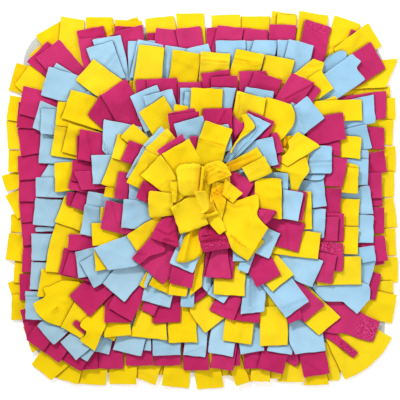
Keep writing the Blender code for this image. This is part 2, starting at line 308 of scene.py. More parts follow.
    ("y4", 181.5, 1, 179.5, -30, L, 0),
    ("y4", 180, -31, 178.5, -62, L, 0),
    ("y4", 182, -64, 183, -96, 50, 0),
    ("y4", 160, -133, 135, -154, 60, 7),
    ("y4", 100, -140, 76, -155, 58, 0),
    ("y4", 99.5, -164.5, 68, -165.5, L, 0),
    ("y4", 58, -164, 25.5, -159, L, 0),
    ("y4", -3, -162, -35.5, -162, L, 0),
    ("y4", 28.5, -133.4, 5.5, -151.5, 45, -35, {"root_width": 0.4, "right": ((9, -107), (-6.4, -118), (-11.8, -126)), "bow": 0, "cell": 1.6}),
    ("y4", -37, -159, -79, -154.5, L, 0, {"root_width": 0.65}),
    ("y4", -97.5, -160, -115, -150, L, 0),
    ("y4", -77.5, -153.5, -108, -155.5, L, 0),
    ("y4", -184.5, -109.5, -179.5, -78, 50, 0),
    ("y4", -156.5, -143.5, -189, -117, 53, -15, {"root_width": 0.5, "right": ((-155, -91.5), (-170, -97.5), (-177.5, -100), (-175.5, -109)), "bow": 0, "bulge": 7, "cell": 1.5,
        "creases": ((0.50, 0.79, 0.46, 0.72, -3.0, 0.9),)}),
    ("y4", -134, -157.5, -157.5, -143.5, 46, 0, {"root_width": 1.1}),
    ("m5", -144, -140.5, -130.5, -152, 6.5, 0, {"rough": 0.1, "arch": 0, "lift": 0.4}),
    ("y4", -119.5, -171.5, -136, -158.5, 60, 0, {"left": ((-100, -128), (-106, -141)), "right": ((-134.5, -138.5), (-128, -149.5)), "bow": 0, "cell": 1.6}),
    ("y4", -175, -81, -161.5, -22, L, 0, {"bulge": 2.8, "root_width": 0.85}),
    ("y4", -165, -25, -154, 4.5, L, 0),
    ("y4", -164, 9, -165, 42, L, 0),
    # ring 5, magenta
    ("m5", -127.5, 96, -112, 119.5, L, -8),
    ("m5", -112, 118.5, -84.0, 138.0, 60, -6),
    ("m5", -73, 136, -44, 137, L, 0),
    ("m5", -60.5, 136.5, -26, 139, L, 0),
    ("m5", -25, 133.5, 4, 134.5, L, 0),
    ("m5", 1, 143.5, 33, 148, L, 0),
    ("m5", 12, 139, 42, 141, L, 0),
    ("m5", 44, 146, 75.5, 146.5, L, 0),
    ("m5", 62, 146, 93.5, 136, L, -5),
    ("m5", 118, 138, 137, 125, L, 0),
    ("m5", 104.5, 144, 130, 132.5, 54, -8, {"creases": ((1.0, 0.97, 0.38, 0.43, -2.4, 1.5),)}),
    ("m5", 159.5, 75, 158.5, 49.5, L, 0),
    ("m5", 162, 99.5, 166, 69, L, 5),
    ("m5", 167, 47, 161, 14, L, 0),
    ("m5", 160, 13, 159, -18, L, 0),
    ("m5", 163.5, -15, 162.5, -47, L, 0),
    ("m5", 157, -19, 156, -47, L, 0),
    ("m5", 162.5, -49, 161.5, -81, L, 0, {"specks": ((0.15, 0.6, 0.3, 0.5, 1.0),)}),
    ("m5", 155, -62.5, 149.5, -95, L, 0),
    ("m5", 141.5, -119.5, 118, -139, 46, 5),
    ("m5", 116, -134, 100, -140, L, 0, {"tone": -0.4, "rise": 1.0}),
    ("m5", 67, -139.5, 38, -136, L, 0),
    ("m5", 10, -106, -7.5, -118, 40, 0, {"tone": -1.0}),
    ("m5", 37, -137, 10.5, -125, L, 0),
    ("m5", -22, -138.5, -53, -140, L, 0),
    ("m5", -52, -131, -67, -125, L, 0),
    ("m5", -77, -139, -108, -138.5, L, 0),
    ("m5", -77, -137.5, -104, -122, L, 3),
    ("m5", -124.5, -132, -148, -109, L, 0),
    ("m5", -160, -84.5, -154.5, -54, L, 0),
    ("m5", -155.5, -84, -147.5, -57, L, 0),
    ("m5", -150, -57, -149, -39, L, 0),
    ("m5", -152, -6, -150.5, 9.5, L, 0),
    ("m5", -147, -7, -139, 12, L, 0),
    ("m5", -150, 13, -145, 33, L, 0),
    ("m5", -146, 22, -145, 45.5, L, 0),
    ("m5", -134, 11, -143, 32, L, -20),
    ("m5", -140, 45, -139, 73, L, 0),
    ("m5", -138, 46, -136, 80.5, L, -6),
    # ring 6, blue
    ("b6", -111, 57, -109, 91.5, L, -8, {"left": ((-90, 45), (-101, 46)), "bow": 0, "cell": 1.4, "specks": ((0.12, 0.86, 0.3, 0.2, 0.45),), "creases": ((-0.05, 0.86, 0.28, 0.95, -1.8, 1.0), (0.0, 0.74, 0.2, 0.86, -1.5, 0.9))}),
    ("b6", -121, 18, -123, 50.5, L, 0),
    ("b6", -130, -8, -126.5, 9.5, L, 0),
    ("b6", -136, -38.5, -130.5, -5, L, 0),
    ("b6", -137.5, -88.5, -141, -58.5, L, 8),
    ("b6", -120, -99.5, -136, -70.5, L, 0),
    ("b6", -85.5, -116, -110, -94.5, L, 0),
    ("b6", -34, -122.5, -66, -113.5, L, 0),
    ("b6", -7, -122, -22, -121, L, 0),
    ("b6", 2.5, -99, 13, -109.5, 40, 44),
    ("b6", 27, -117.5, 8, -106, L, 0),
    ("b6", 73, -126.5, 46, -129.5, L, -13, {"root_width": 0.95, "creases": ((0.72, 0.15, 0.60, 0.82, -2.6, 1.8),), "painted_shade_spots": ((0.64, 0.45, 0.3, 0.45, 0.8),)}),
    ("b6", 140, -69, 127, -99, 52, 0),
    ("b6", 123.5, -115, 97, -133.5, 52, 2),
    ("b6", 142.5, -10, 140.5, -43, L, 0),
    ("b6", 139.5, 25, 143.5, -7, L, 0),
    ("b6", 147, 40, 139, 22, 40, 0, {"right": ((112, 30), (124, 23)), "bow": 0, "corner": 4}),
    ("b6", 149.5, 61.5, 149, 30, L, 0, {"creases": ((0.60, 0.42, 0.57, 0.97, -2.8, 1.7),), "painted_shade_spots": ((0.42, 0.62, 0.16, 0.22, 0.6),), "corner": 2.5}),
    ("b6", 104, 111, 121, 100, L, 0),
    ("b6", 121, 117.5, 141, 92.5, 50, 0),
    ("b6", -79.5, 117.5, -48.5, 130.5, L, 0),
    ("b6", -64.5, 117, -31.5, 126, L, 0),
    ("b6", -22.5, 127, -6, 127, L, 0),
    ("b6", -17.5, 122.5, -2, 122.5, L, 0),
    ("b6", 12, 127.5, 41, 127, L, -10),
    ("b6", 52, 128, 84, 123, L, 0),
    # ring 7, yellow
    ("y7", -69, 99.5, -40.5, 117.5, 54, 0),
    ("y7", -29, 108, -13, 106.5, 24, 0),
    ("y7", -112, 18, -99.5, 50, L, 0),
    ("y7", -100, 47.5, -93, 75.5, L, 0),
    ("y7", -90, 71.5, -75.5, 86.5, L, 0),
    ("y7", -109, 4, -107, 15, L, 0),
    ("y7", -113, -23, -112, -8, L, 0),
    ("y7", -122, -52, -123, -26, L, 0),
    ("y7", -118, -80.5, -119.5, -56, L, 0, {"root_width": 0.55}),
    ("y7", -62.5, -100.5, -69, -96.5, 40, 0),
    ("b9", -60.5, -99.5, -63.5, -98.5, 24, -6, {"root_width": 2.4, "cell": 1.5}),
    ("y7", -36, -107, -58, -96, L, 0),
    ("y7", -15.5, -110, -36, -107, L, 0),
    ("y7", 2, -98, -12, -109, 40, -44),
    ("y7", 50.5, -109, 15, -107, L, 0),
    ("y7", 106, -84, 82, -104, L, 0),
    ("y7", 137, -37, 133, -67, 58, 0),
    ("y7", 126, 10, 127, -33, L, 0),
    ("y7", 89, 73.5, 107, 72.5, 28, 0, {"out": 90, "cell": 1.3, "painted_shade_spots": ((0.5, 0.5, 1.2, 0.8, 0.8),),
        "creases": ((0.15, 1.0, 0.55, 0.1, -2.6, 1.4), (0.5, 1.0, 0.75, 0.3, -2.4, 1.4), (0.8, 0.9, 0.3, 0.5, 1.2, 1.6))}),
    ("y7", 124, 54, 118.5, 25, L, 0, {"painted_shade_spots": ((0.93, 0.85, 0.12, 0.10, 0.5),)}),
    ("y7", 102.5, 9.8, 110, 9.5, 40, 0, {"out": 270, "root_width": 3.2, "left": ((122, 40), (123.5, 33), (116.5, 22.5)), "right": ((85, 36), (98, 29), (102, 21)), "bow": 0, "cell": 1.6, "arch": 2.0,
        "tone": 0.3, "creases": ((0.25, 0.1, 0.3, 0.5, 0.9, 3.0),), "painted_shade_spots": ((0.12, 0.1, 0.12, 0.12, 0.6),)}),
    ("y7", 111, 77.5, 137, 61, 42, -17, {"root_width": 0.5, "left": ((97, 53), (101, 60), (100, 67)), "bow": 0, "cell": 1.6, "corner": 2,
        "creases": ((0.2, 0.5, 0.35, 0.95, 0.8, 2.5),), "slopes": (("right", 1.5, 6),)}),
    ("y7", 75, 117, 103, 108, L, 0, {"right": ((95, 71), (105, 84), (107.5, 96)), "bow": 0}),
    ("y7", 42, 123.5, 75, 115, 50, 4, {"creases": ((0.12, 0.92, 0.2, 0.4, -1.8, 1.2), (0.3, 0.5, 0.1, 0.3, 1.0, 2.5))}),
    ("y7", -10, 127.5, 26, 125.5, L, 0),
    # ring 8, magenta
    ("m8", -97, 2, -92, 33, L, 0),
    ("m8", -89, 44, -80, 67.5, L, 0),
    ("m8", -92, -36, -80, -37.5, 30, 0),
    ("m8", -113, -32.5, -106, 0, L, 0),
    ("m8", -68, -74, -79, -62, L, 0),
    ("m8", -41, -95.5, -68, -74, L, 0),
    ("m8", -9, -100, -35, -94.5, L, 0),
    ("m8", 37, -90, 4, -87, L, 0),
    ("m8", 91.5, -84, 64.5, -99.5, L, 0),
    ("m8", 119, -27, 111, -59, L, 0),
    ("m8", 121, 9, 116, -24, L, 0),
    ("m8", 92, 62, 90.5, 36, L, 0),
    ("m8", 87, 77.5, 94.5, 55, L, 0),
    ("m8", 54, 102, 84.5, 89, L, 0),
    ("m8", 36, 98, 51.5, 83, L, 0),
    ("m8", 3, 103.5, 36.5, 104.5, L, 0, {"creases": ((0.55, 0.6, 0.76, 0.92, -2.4, 1.1),)}),
    ("m8", -37, 98, -6, 104, L, 0),
    ("m8", -36, 95, -1, 100, L, 0),
    # ring 9, blue
    ("b9", -84, 26, -64, 62, L, 0),
    ("b9", -64, 62, -44, 83.5, L, 0),
    ("b9", -80.5, -2, -80, 22, L, 0),
    ("b9", -89, -31.5, -86.5, 1, L, 0),
    ("b9", -104, -79.5, -120.5, -54, 42, -6, {"root_width": 0.66, "left": ((-70, -73), (-84, -77)), "bow": 0, "cell": 1.7}),
    ("b9", -8, -83, -34.5, -71.5, L, 0),
    ("b9", 54, -83, 42, -79, 40, 0),
    ("b9", 56, -69.5, 37, -69.5, 40, 0),
    ("b9", 91, -38, 78, -67, L, 0),
    ("b9", 100, 30, 99, 5, L, 0),
    ("b9", 117, 8, 111, -24, L, 0),
    ("b9", 82, 71.5, 88.5, 40, L, 0),
    ("b9", 53, 98.5, 80.5, 86, 62, -12, {"root_width": 0.3, "left": ((32, 54), (42, 66.5), (53, 76.5), (55.5, 87)), "bow": 0, "cell": 1.6, "creases": ((0.75, 0.1, 0.6, 0.85, -2.2, 1.5), (0.3, 0.2, 0.35, 0.6, 0.8, 2.0))}),
    ("b9", 20, 84, 32, 86, 30, 0),
    ("b9", -29.5, 86, 3.5, 95, L, 0),
    # ring 11, magenta, where the last yellow ring's leaves lie over it
    ("m11", -11, 72, -2, 72, 34, 0),
    ("m11", 63, 18, 65, 6, 40, 0),
    ("m11", 36, 34.5, 62, 20, 40, 0),
    # ring 10, yellow
    ("y10", 46, 96, 52.8, 97.4, 46, -30, {"root_width": 0.25, "left": ((35.5, 58), (45.5, 74), (50, 84)), "right": ((39, 60.5), (46, 69), (56, 76.5), (61.8, 83.5)), "bow": 0, "cell": 1.3, "lift": 0.8, "painted_shade_spots": ((0.0, 0.6, 0.25, 0.5, 0.5),)}),
    ("y10", -62, 58.5, -37, 81, L, 0),
    ("y10", -83, 20, -62, 57, L, 0),
    ("m11", -49, 55.5, -20, 75, 34, 0, {"root_width": 0.7}),
    ("m11", -72.5, 2.5, -64.5, 22.5, 34, 0, {"creases": ((0.2, 0.6, 0.8, 0.95, -1.6, 1.6),), "cell": 1.4}),
    ("y10", -71.5, -58.5, -83, -40, L, 0),
    ("y10", 3.5, -61, -27.5, -70, 38.5, -26, {"out": 270, "bulge": 4.5, "cell": 1.3, "root_width": 0.45, "cup": 0, "arch": 0, "lift": 0.6, "rise": 1.5, "corner": 3,
        "creases": ((0.74, 0.1, 0.72, 1.0, 5.5, 5.0), (0.0, 0.3, 0.10, 0.9, 2.5, 2.5)), "slopes": (("right", 3, 6), ("tip", 3, 5)), "tone": -1.0}),
    ("y10", 22.5, -39.5, 44, -26, 40, 0),
    ("y10", 73, -47, 53.5, -69.5, 50, 0, {"creases": ()}),
    ("y10", 92, 24.3, 92.5, -22, 30, 0, {"root_width": 0.78, "left": ((63, 21), (71, 25)), "bow": 0, "cell": 1.5, "corner": 1.5,
        "lift": 0.6, "cup": 0, "creases": ((0.5, 0.55, 0.42, 0.95, 0.9, 3.0), (0.2, 0.5, 0.25, 0.9, 0.6, 2.5))}),
    ("m11", 88, -12, 79, -25, 22, 18, {"corner": 4, "cell": 1.2, "root_width": 0.6, "tone": -0.5, "painted_shade_spots": ((0.5, 0.5, 1.0, 0.8, 0.5),), "rise": 1.0, "creases": ((0.35, 0.2, 0.5, 0.9, 1.5, 3.0), (0.1, 0.5, 0.2, 0.9, -1.4, 1.4)),
        "slopes": (("left", 2, 3), ("tip", 1.5, 3))}),
    ("y10", 64.6, 60.2, 73, 45, 46, -6, {"root_width": 0.55, "cell": 1.4, "painted_shade_spots": ((0.45, 0.25, 0.9, 0.30, 0.95), (0.5, 0.62, 0.4, 0.2, 0.6)),
        "creases": ((0.3, 0.15, 0.45, 0.85, -1.4, 2.4),), "slopes": (("right", 1.5, 5),)}),
    ("y10", 72, 50, 82, 32, 28, -3, {"out": 30, "root_width": 0.92, "cell": 1.6, "lift": 1.2, "arch": 1.2, "corner": 1.5, "creases": ((0.55, 0.0, 0.4, 0.6, 0.8, 3.0),),
        "slopes": (("right", 1.5, 4),)}),
    ("y10", 6, 89.5, 37, 80, 50, 0, {"creases": ((-0.02, 0.555, 0.93, 0.59, -1.9, 1.0),)}),
    ("y10", -43, 52, -12, 69, L, 0),
    # the gathered middle: leaves that fill it under the ones on top
    ("y12", 30, -22, -18, -22, 48, 0, {"out": 270, "cell": 2.0}),
    ("y12", 34, 38, 34, -6, 50, 0, {"out": 0, "cell": 2.0}),
    ("y12", -38, -8, -38, 24, 40, 0, {"out": 180, "cell": 2.0}),
    # ring 11, magenta: its leaves that lie over ring 10
    ("m11", 6, -87, 36, -89, 34, 0, {"root_width": 0.55, "out": 270}),
    ("m11", 37, -54, 3, -59, 30, 0, {"out": 270, "root_width": 0.5, "left": ((18, -30), (24, -40), (30, -36), (36, -48)), "right": ((-1, -36), (0, -48)),
        "cell": 1.0, "arch": 0, "lift": 0, "cup": 0, "twist": 0, "rise": 4, "slopes": (("root", 6, 8), ("left", 3, 4), ("right", 3, 5)),
        "creases": ((0, 0.52, 0.85, 0.50, -3.2, 1.7), (0.1, 0.80, 1.0, 0.68, -3.2, 1.6), (0.55, 0.0, 0.5, 0.45, -2.0, 2.4)),
        "painted_shade_spots": ((0.45, 0.64, 0.45, 0.10, 0.95), (0.12, 0.30, 0.2, 0.2, 0.9)), "specks": ((0.5, 0.75, 0.5, 0.25, 0.9),)}),
    ("m11", -68.4, -73, -77, -66, 36, 0, {"root_width": 1.2, "left": ((-40, -58), (-57, -63.5), (-63.5, -69)), "right": ((-52, -36), (-60, -46)), "bow": 0, "cell": 1.3, "tone": 0.3, "arch": 0.8, "lift": 0.8}),
    ("m11", -24, -54, -56, -43, 34, 0, {"out": 240, "root_width": 0.42, "left": ((-26, -30),), "right": ((-50, -28),), "cell": 1.0,
        "arch": 0, "lift": 0, "cup": 0, "twist": 0, "rise": 5, "slopes": (("left", 4, 6), ("right", 6, 7), ("root", 2, 4)),
        "creases": ((0.02, 0.45, 0.40, 0.70, -2.0, 1.5), (0.46, 0.72, 0.95, 0.68, -2.0, 1.5), (0.0, 0.85, 0.55, 0.92, -2.2, 1.4), (0.5, 0.2, 0.55, 0.62, 1.2, 4.0)),
        "painted_shade_spots": ((0.04, 0.5, 0.12, 0.5, 0.8),)}),
    ("m11", 86, -12, 76, -27, 20, 30, {"corner": 3}),
    # the centre
    ("y12", -67, 28, -44, 51, 52, 0, {"out": 135, "root_width": 0.62, "right": ((-24, 19), (-31, 33)), "bow": 0, "cell": 1.6, "tone": 0.5}),
    ("y12", -57, -21, -57.5, 11, 27, 0, {"out": 180, "root_width": 0.78, "bulge": 1.2, "corner": 3, "cell": 1.4,
        "slopes": (("root", 4, 10), ("left", 2.5, 7)), "arch": 1.0, "lift": 0.5, "cup": 0}),
    ("y12", -34, 21, -24, 21, 24, 0, {"out": 95, "root_width": 0.4, "bow": 0, "cell": 1.2, "arch": 1.5, "lift": 0, "cup": 0, "slopes": (("tip", 2, 5),)}),
    ("y12", 77, -31.5, 54.5, -69, 56, -7, {"out": -35, "root_width": 0.42, "left": ((30, 3), (43, 0), (54, 3.5), (65, 6), (66.5, -6), (65, -18)), "right": ((30, -40), (36, -55), (45, -63)),
        "arch": 0.6, "lift": 0.6, "cup": 0, "twist": 0, "cell": 1.2, "bow": 0, "tone": 0.2, "slopes": (("left", 1.0, 6), ("right", 1.5, 6), ("root", 2, 8)),
        "creases": ((0.25, 0.12, 0.22, 0.55, -1.6, 2.4), (0.90, 0.45, 0.74, 0.86, -2.6, 1.1), (0.4, 0.25, 0.45, 0.8, 0.6, 4.0)), "painted_shade_spots": ((0.15, 0.35, 0.22, 0.2, 0.3),)}),
    ("y12", 14, 22, 33, 17, 44, 4, {"out": 80, "root_width": 0.9, "cell": 0.9, "corner": 3, "arch": 0.8, "lift": 0, "cup": 0, "twist": 0,
        "creases": ((0.12, 0.98, 0.36, 0.76, -1.7, 1.1), (0.36, 0.78, 0.2, 0.70, -1.4, 1.0), (0.62, 0.96, 0.5, 0.82, -1.5, 1.1), (0.1, 0.70, 0.72, 0.64, -1.8, 1.2),
                    (0.5, 0.62, 0.8, 0.52, -1.4, 1.2), (0.0, 0.66, 0.40, 0.30, -2.0, 1.6), (0.25, 0.50, 0.66, 0.10, -1.8, 1.6), (0.05, 0.42, 0.80, 0.0, -1.8, 1.6)),
        "painted_shade_spots": ((0.45, 0.72, 0.55, 0.20, 0.9), (0.75, 0.50, 0.45, 0.15, 0.5))}),
    ("y12", 22, -39.5, 30, -34, 34, 0, {"out": -50, "root_width": 2.0, "cell": 1.2, "arch": 1.5, "cup": 0, "corner": 1.5, "lift": 1.0,
        "painted_shade_spots": ((0.5, 0.2, 0.8, 0.25, 0.5),), "creases": ((0.5, 0.2, 0.45, 0.9, 1.0, 3.0),)}),
    ("y12", 36, 28, 29.5, 40, 30, 0, {"out": 25, "root_width": 1.5, "left": ((6, 39), (13, 42.5), (22.5, 44.5)), "right": ((10, 17), (22, 22)), "bow": 0, "cell": 0.9, "arch": 1.0, "lift": 1.2, "cup": 0, "corner": 1.0, "tone": 0.3,
        "creases": ((0.92, 0.10, 0.75, 0.55, -1.8, 1.0), (0.72, 0.12, 0.6, 0.75, -2.0, 1.0), (0.5, 0.08, 0.38, 0.5, -1.8, 0.9), (0.28, 0.1, 0.2, 0.45, -2.0, 1.0),
                    (0.15, 0.55, 0.5, 0.8, -1.6, 1.0), (0.6, 0.6, 0.85, 0.9, -1.8, 1.0), (0.35, 0.7, 0.3, 0.95, 1.0, 1.4)),
        "painted_shade_spots": ((0.15, 0.15, 0.12, 0.12, 0.8), (0.5, 0.4, 0.5, 0.4, 0.25), (0.85, 0.75, 0.15, 0.12, 0.7))}),
    ("y12", 48.5, 7.5, 29, 24, 16.5, 12, {"out": 51, "root_width": 0.62, "tone": 0.4, "cell": 1.1, "arch": 1.2, "lift": 1.0, "corner": 1.5,
        "slopes": (("left", 2, 5), ("root", 3.0, 7)), "creases": ((0.35, 0.2, 0.4, 0.95, -0.9, 2.2),),
        "painted_shade_spots": ((0.0, 0.4, 0.15, 0.5, 0.5), (0.5, 0.0, 0.9, 0.15, 0.6))}),
    ("y12", -22.5, -38.5, -33, -8.5, 34, 0, {"out": 199, "tone": 0.6, "root_width": 1.0, "right": ((-10, 6), (-22, -1.5)), "cell": 1.3, "arch": 1.8, "lift": 1.2, "rise": 1.0,
        "slopes": (("left", 1.5, 5), ("right", 1.0, 4))}),
    ("y12", -27, 39, 2.5, 41, 35, 0, {"out": 92, "root_width": 0.66, "left": ((-24, 10), (-25, 22), (-27, 31)), "bow": 0, "corner": 6, "cell": 1.0, "bulge": 1.0,
        "arch": 0, "lift": 0, "cup": 0, "twist": 0, "rise": 3.0, "tone": 0.8, "slopes": (("tip", 2.5, 5), ("right", 3.0, 6), ("left", 2, 4), ("root", 3.0, 16)),
        "creases": ((0.80, 0.2, 0.82, 0.85, -0.9, 2.2),), "painted_shade_spots": ((0.90, 0.5, 0.10, 0.5, 0.6),)}),
    ("y12", 2.6, 10, 5.6, 38, 3.4, 0, {"out": 0, "cell": 0.7, "corner": 1.2, "arch": 0, "lift": 0, "cup": 0, "twist": 0, "rise": 1.5, "wave": 0.1, "creases": (),
        "slopes": (("left", 1.0, 1.6), ("tip", 1.0, 1.6))}),
    ("y12", -7, 9.5, 7, 10.5, 25, 0, {"out": 97, "root_width": 0.6, "left": ((1.5, -12), (-2.5, -3)), "right": ((11.5, -9), (10.3, 2)), "bow": 0, "cell": 0.9, "corner": 1.2,
        "arch": 0, "lift": 1.0, "cup": 0, "twist": 0, "rise": 6.0, "wave": 0.1, "tone": 1.0, "weight": 0.002, "slopes": (("right", 3.5, 3.5), ("left", 0.4, 1.5)), "creases": ((0.78, -0.1, 0.75, 0.9, 2.0, 6.5),), "painted_shade_spots": ((0.98, 0.4, 0.12, 0.7, 0.7),)}),
    ("y12", 4, -15.5, 19, -11.5, 5.0, 0, {"out": 105, "cell": 0.7, "corner": 2.2, "bulge": -1.5, "arch": 0, "lift": 0, "cup": 0, "twist": 0, "rise": 2.0, "wave": 0.1, "creases": (),
        "slopes": (("tip", 1.6, 2.2), ("root", 1.6, 2.2))}),
]


# ---- the pile: how high the mat already is -------------------------------------------------------
class Pile:
    """A height map of everything laid so far. under() is the height that a new leaf has to clear at
    given points, with some room round them; add() lays a leaf's top on it."""

    def __init__(self, half_x=245.0, half_y=240.0):
        self.x0, self.y0 = -half_x, -half_y
        self.h = np.zeros((int(2 * half_y / PILE_CELL) + 2, int(2 * half_x / PILE_CELL) + 2))

    def under(self, xs, ys, room=1.6):
        fx, fy = (xs - self.x0) / PILE_CELL, (ys - self.y0) / PILE_CELL
        r = int(math.ceil(room / PILE_CELL))
        i0, j0 = int(fx.min()) - r - 1, int(fy.min()) - r - 1
        i1, j1 = int(fx.max()) + r + 3, int(fy.max()) + r + 3
        wide = self.h[j0:j1, i0:i1].copy()
        for axis in (0, 1):
            best = wide.copy()
            for k in range(-r, r + 1):
                best = np.maximum(best, np.roll(wide, k, axis))
            wide = best
        gx, gy = fx - i0, fy - j0
        i, j = gx.astype(int), gy.astype(int)
        tx, ty = gx - i, gy - j
        return (
            (1 - ty) * ((1 - tx) * wide[j, i] + tx * wide[j, i + 1])
            + ty * ((1 - tx) * wide[j + 1, i] + tx * wide[j + 1, i + 1])
        )

    def add(self, xs, ys, tops):
        i = ((xs - self.x0) / PILE_CELL + 0.5).astype(int)
        j = ((ys - self.y0) / PILE_CELL + 0.5).astype(int)
        np.maximum.at(self.h, (j, i), tops)


def blur(z):
    p = np.pad(z, 1, mode="edge")
    return (
        p[:-2, :-2] + p[:-2, 2:] + p[2:, :-2] + p[2:, 2:]
        + 2 * (p[:-2, 1:-1] + p[2:, 1:-1] + p[1:-1, :-2] + p[1:-1, 2:])
        + 4 * z
    ) / 16


def widest(z):
    p = np.pad(z, 1, mode="edge")
    out = z.copy()
    for dj in range(3):
        for di in range(3):
            out = np.maximum(out, p[dj:dj + z.shape[0], di:di + z.shape[1]])
    return out


def settle(floor, rounds=70, weight=0.035):
    """Cloth let down on floor: it sags under its weight, is too stiff to follow small steps, and
    nowhere goes below floor."""
    z = blur(floor)
    for _ in range(rounds):
        z = np.maximum(floor, blur(blur(z)) - weight)
    z = blur(z)
    return z + blur(widest(np.maximum(floor - z, 0.0)))


def resample(grid, vs, us):
    """grid (evenly spaced over 0..1 both ways) read at every vs by every us."""
    nj, ni = grid.shape
    fj, fi = np.clip(vs, 0, 1) * (nj - 1), np.clip(us, 0, 1) * (ni - 1)
    j, i = np.minimum(fj.astype(int), nj - 2), np.minimum(fi.astype(int), ni - 2)
    tj, ti = (fj - j)[:, None], (fi - i)[None, :]
    a, b = grid[np.ix_(j, i)], grid[np.ix_(j, i + 1)]
    c, d = grid[np.ix_(j + 1, i)], grid[np.ix_(j + 1, i + 1)]
    return (1 - tj) * ((1 - ti) * a + ti * b) + tj * ((1 - ti) * c + ti * d)


def with_rims(length, cell, rim):
    """Positions from 0 to 1 along length: even cells, and one more close to each end."""
    n = max(3, int(round(length / cell)))
    inner = np.linspace(0.0, 1.0, n + 1)[1:-1]
    r = rim / length
    return np.concatenate(([0.0, r], inner, [1.0 - r, 1.0]))


def shelves(cells):
    """Places the cells, each a width and a height, on shelves in a square, the tallest first."""
    order = sorted(range(len(cells)), key=lambda k: -cells[k][1])
    side = max(math.sqrt(sum(w * h for w, h in cells)), max(max(c) for c in cells)) * 1.005
    while True:
        x = y = shelf = 0.0
        spots = np.zeros((len(cells), 2))
        for k in order:
            w, h = cells[k]
            if x + w > side:
                x, y, shelf = 0.0, y + shelf, 0.0
            spots[k] = x, y
            x, shelf = x + w, max(shelf, h)
        if y + shelf <= side:
            return spots, side
        side *= 1.01


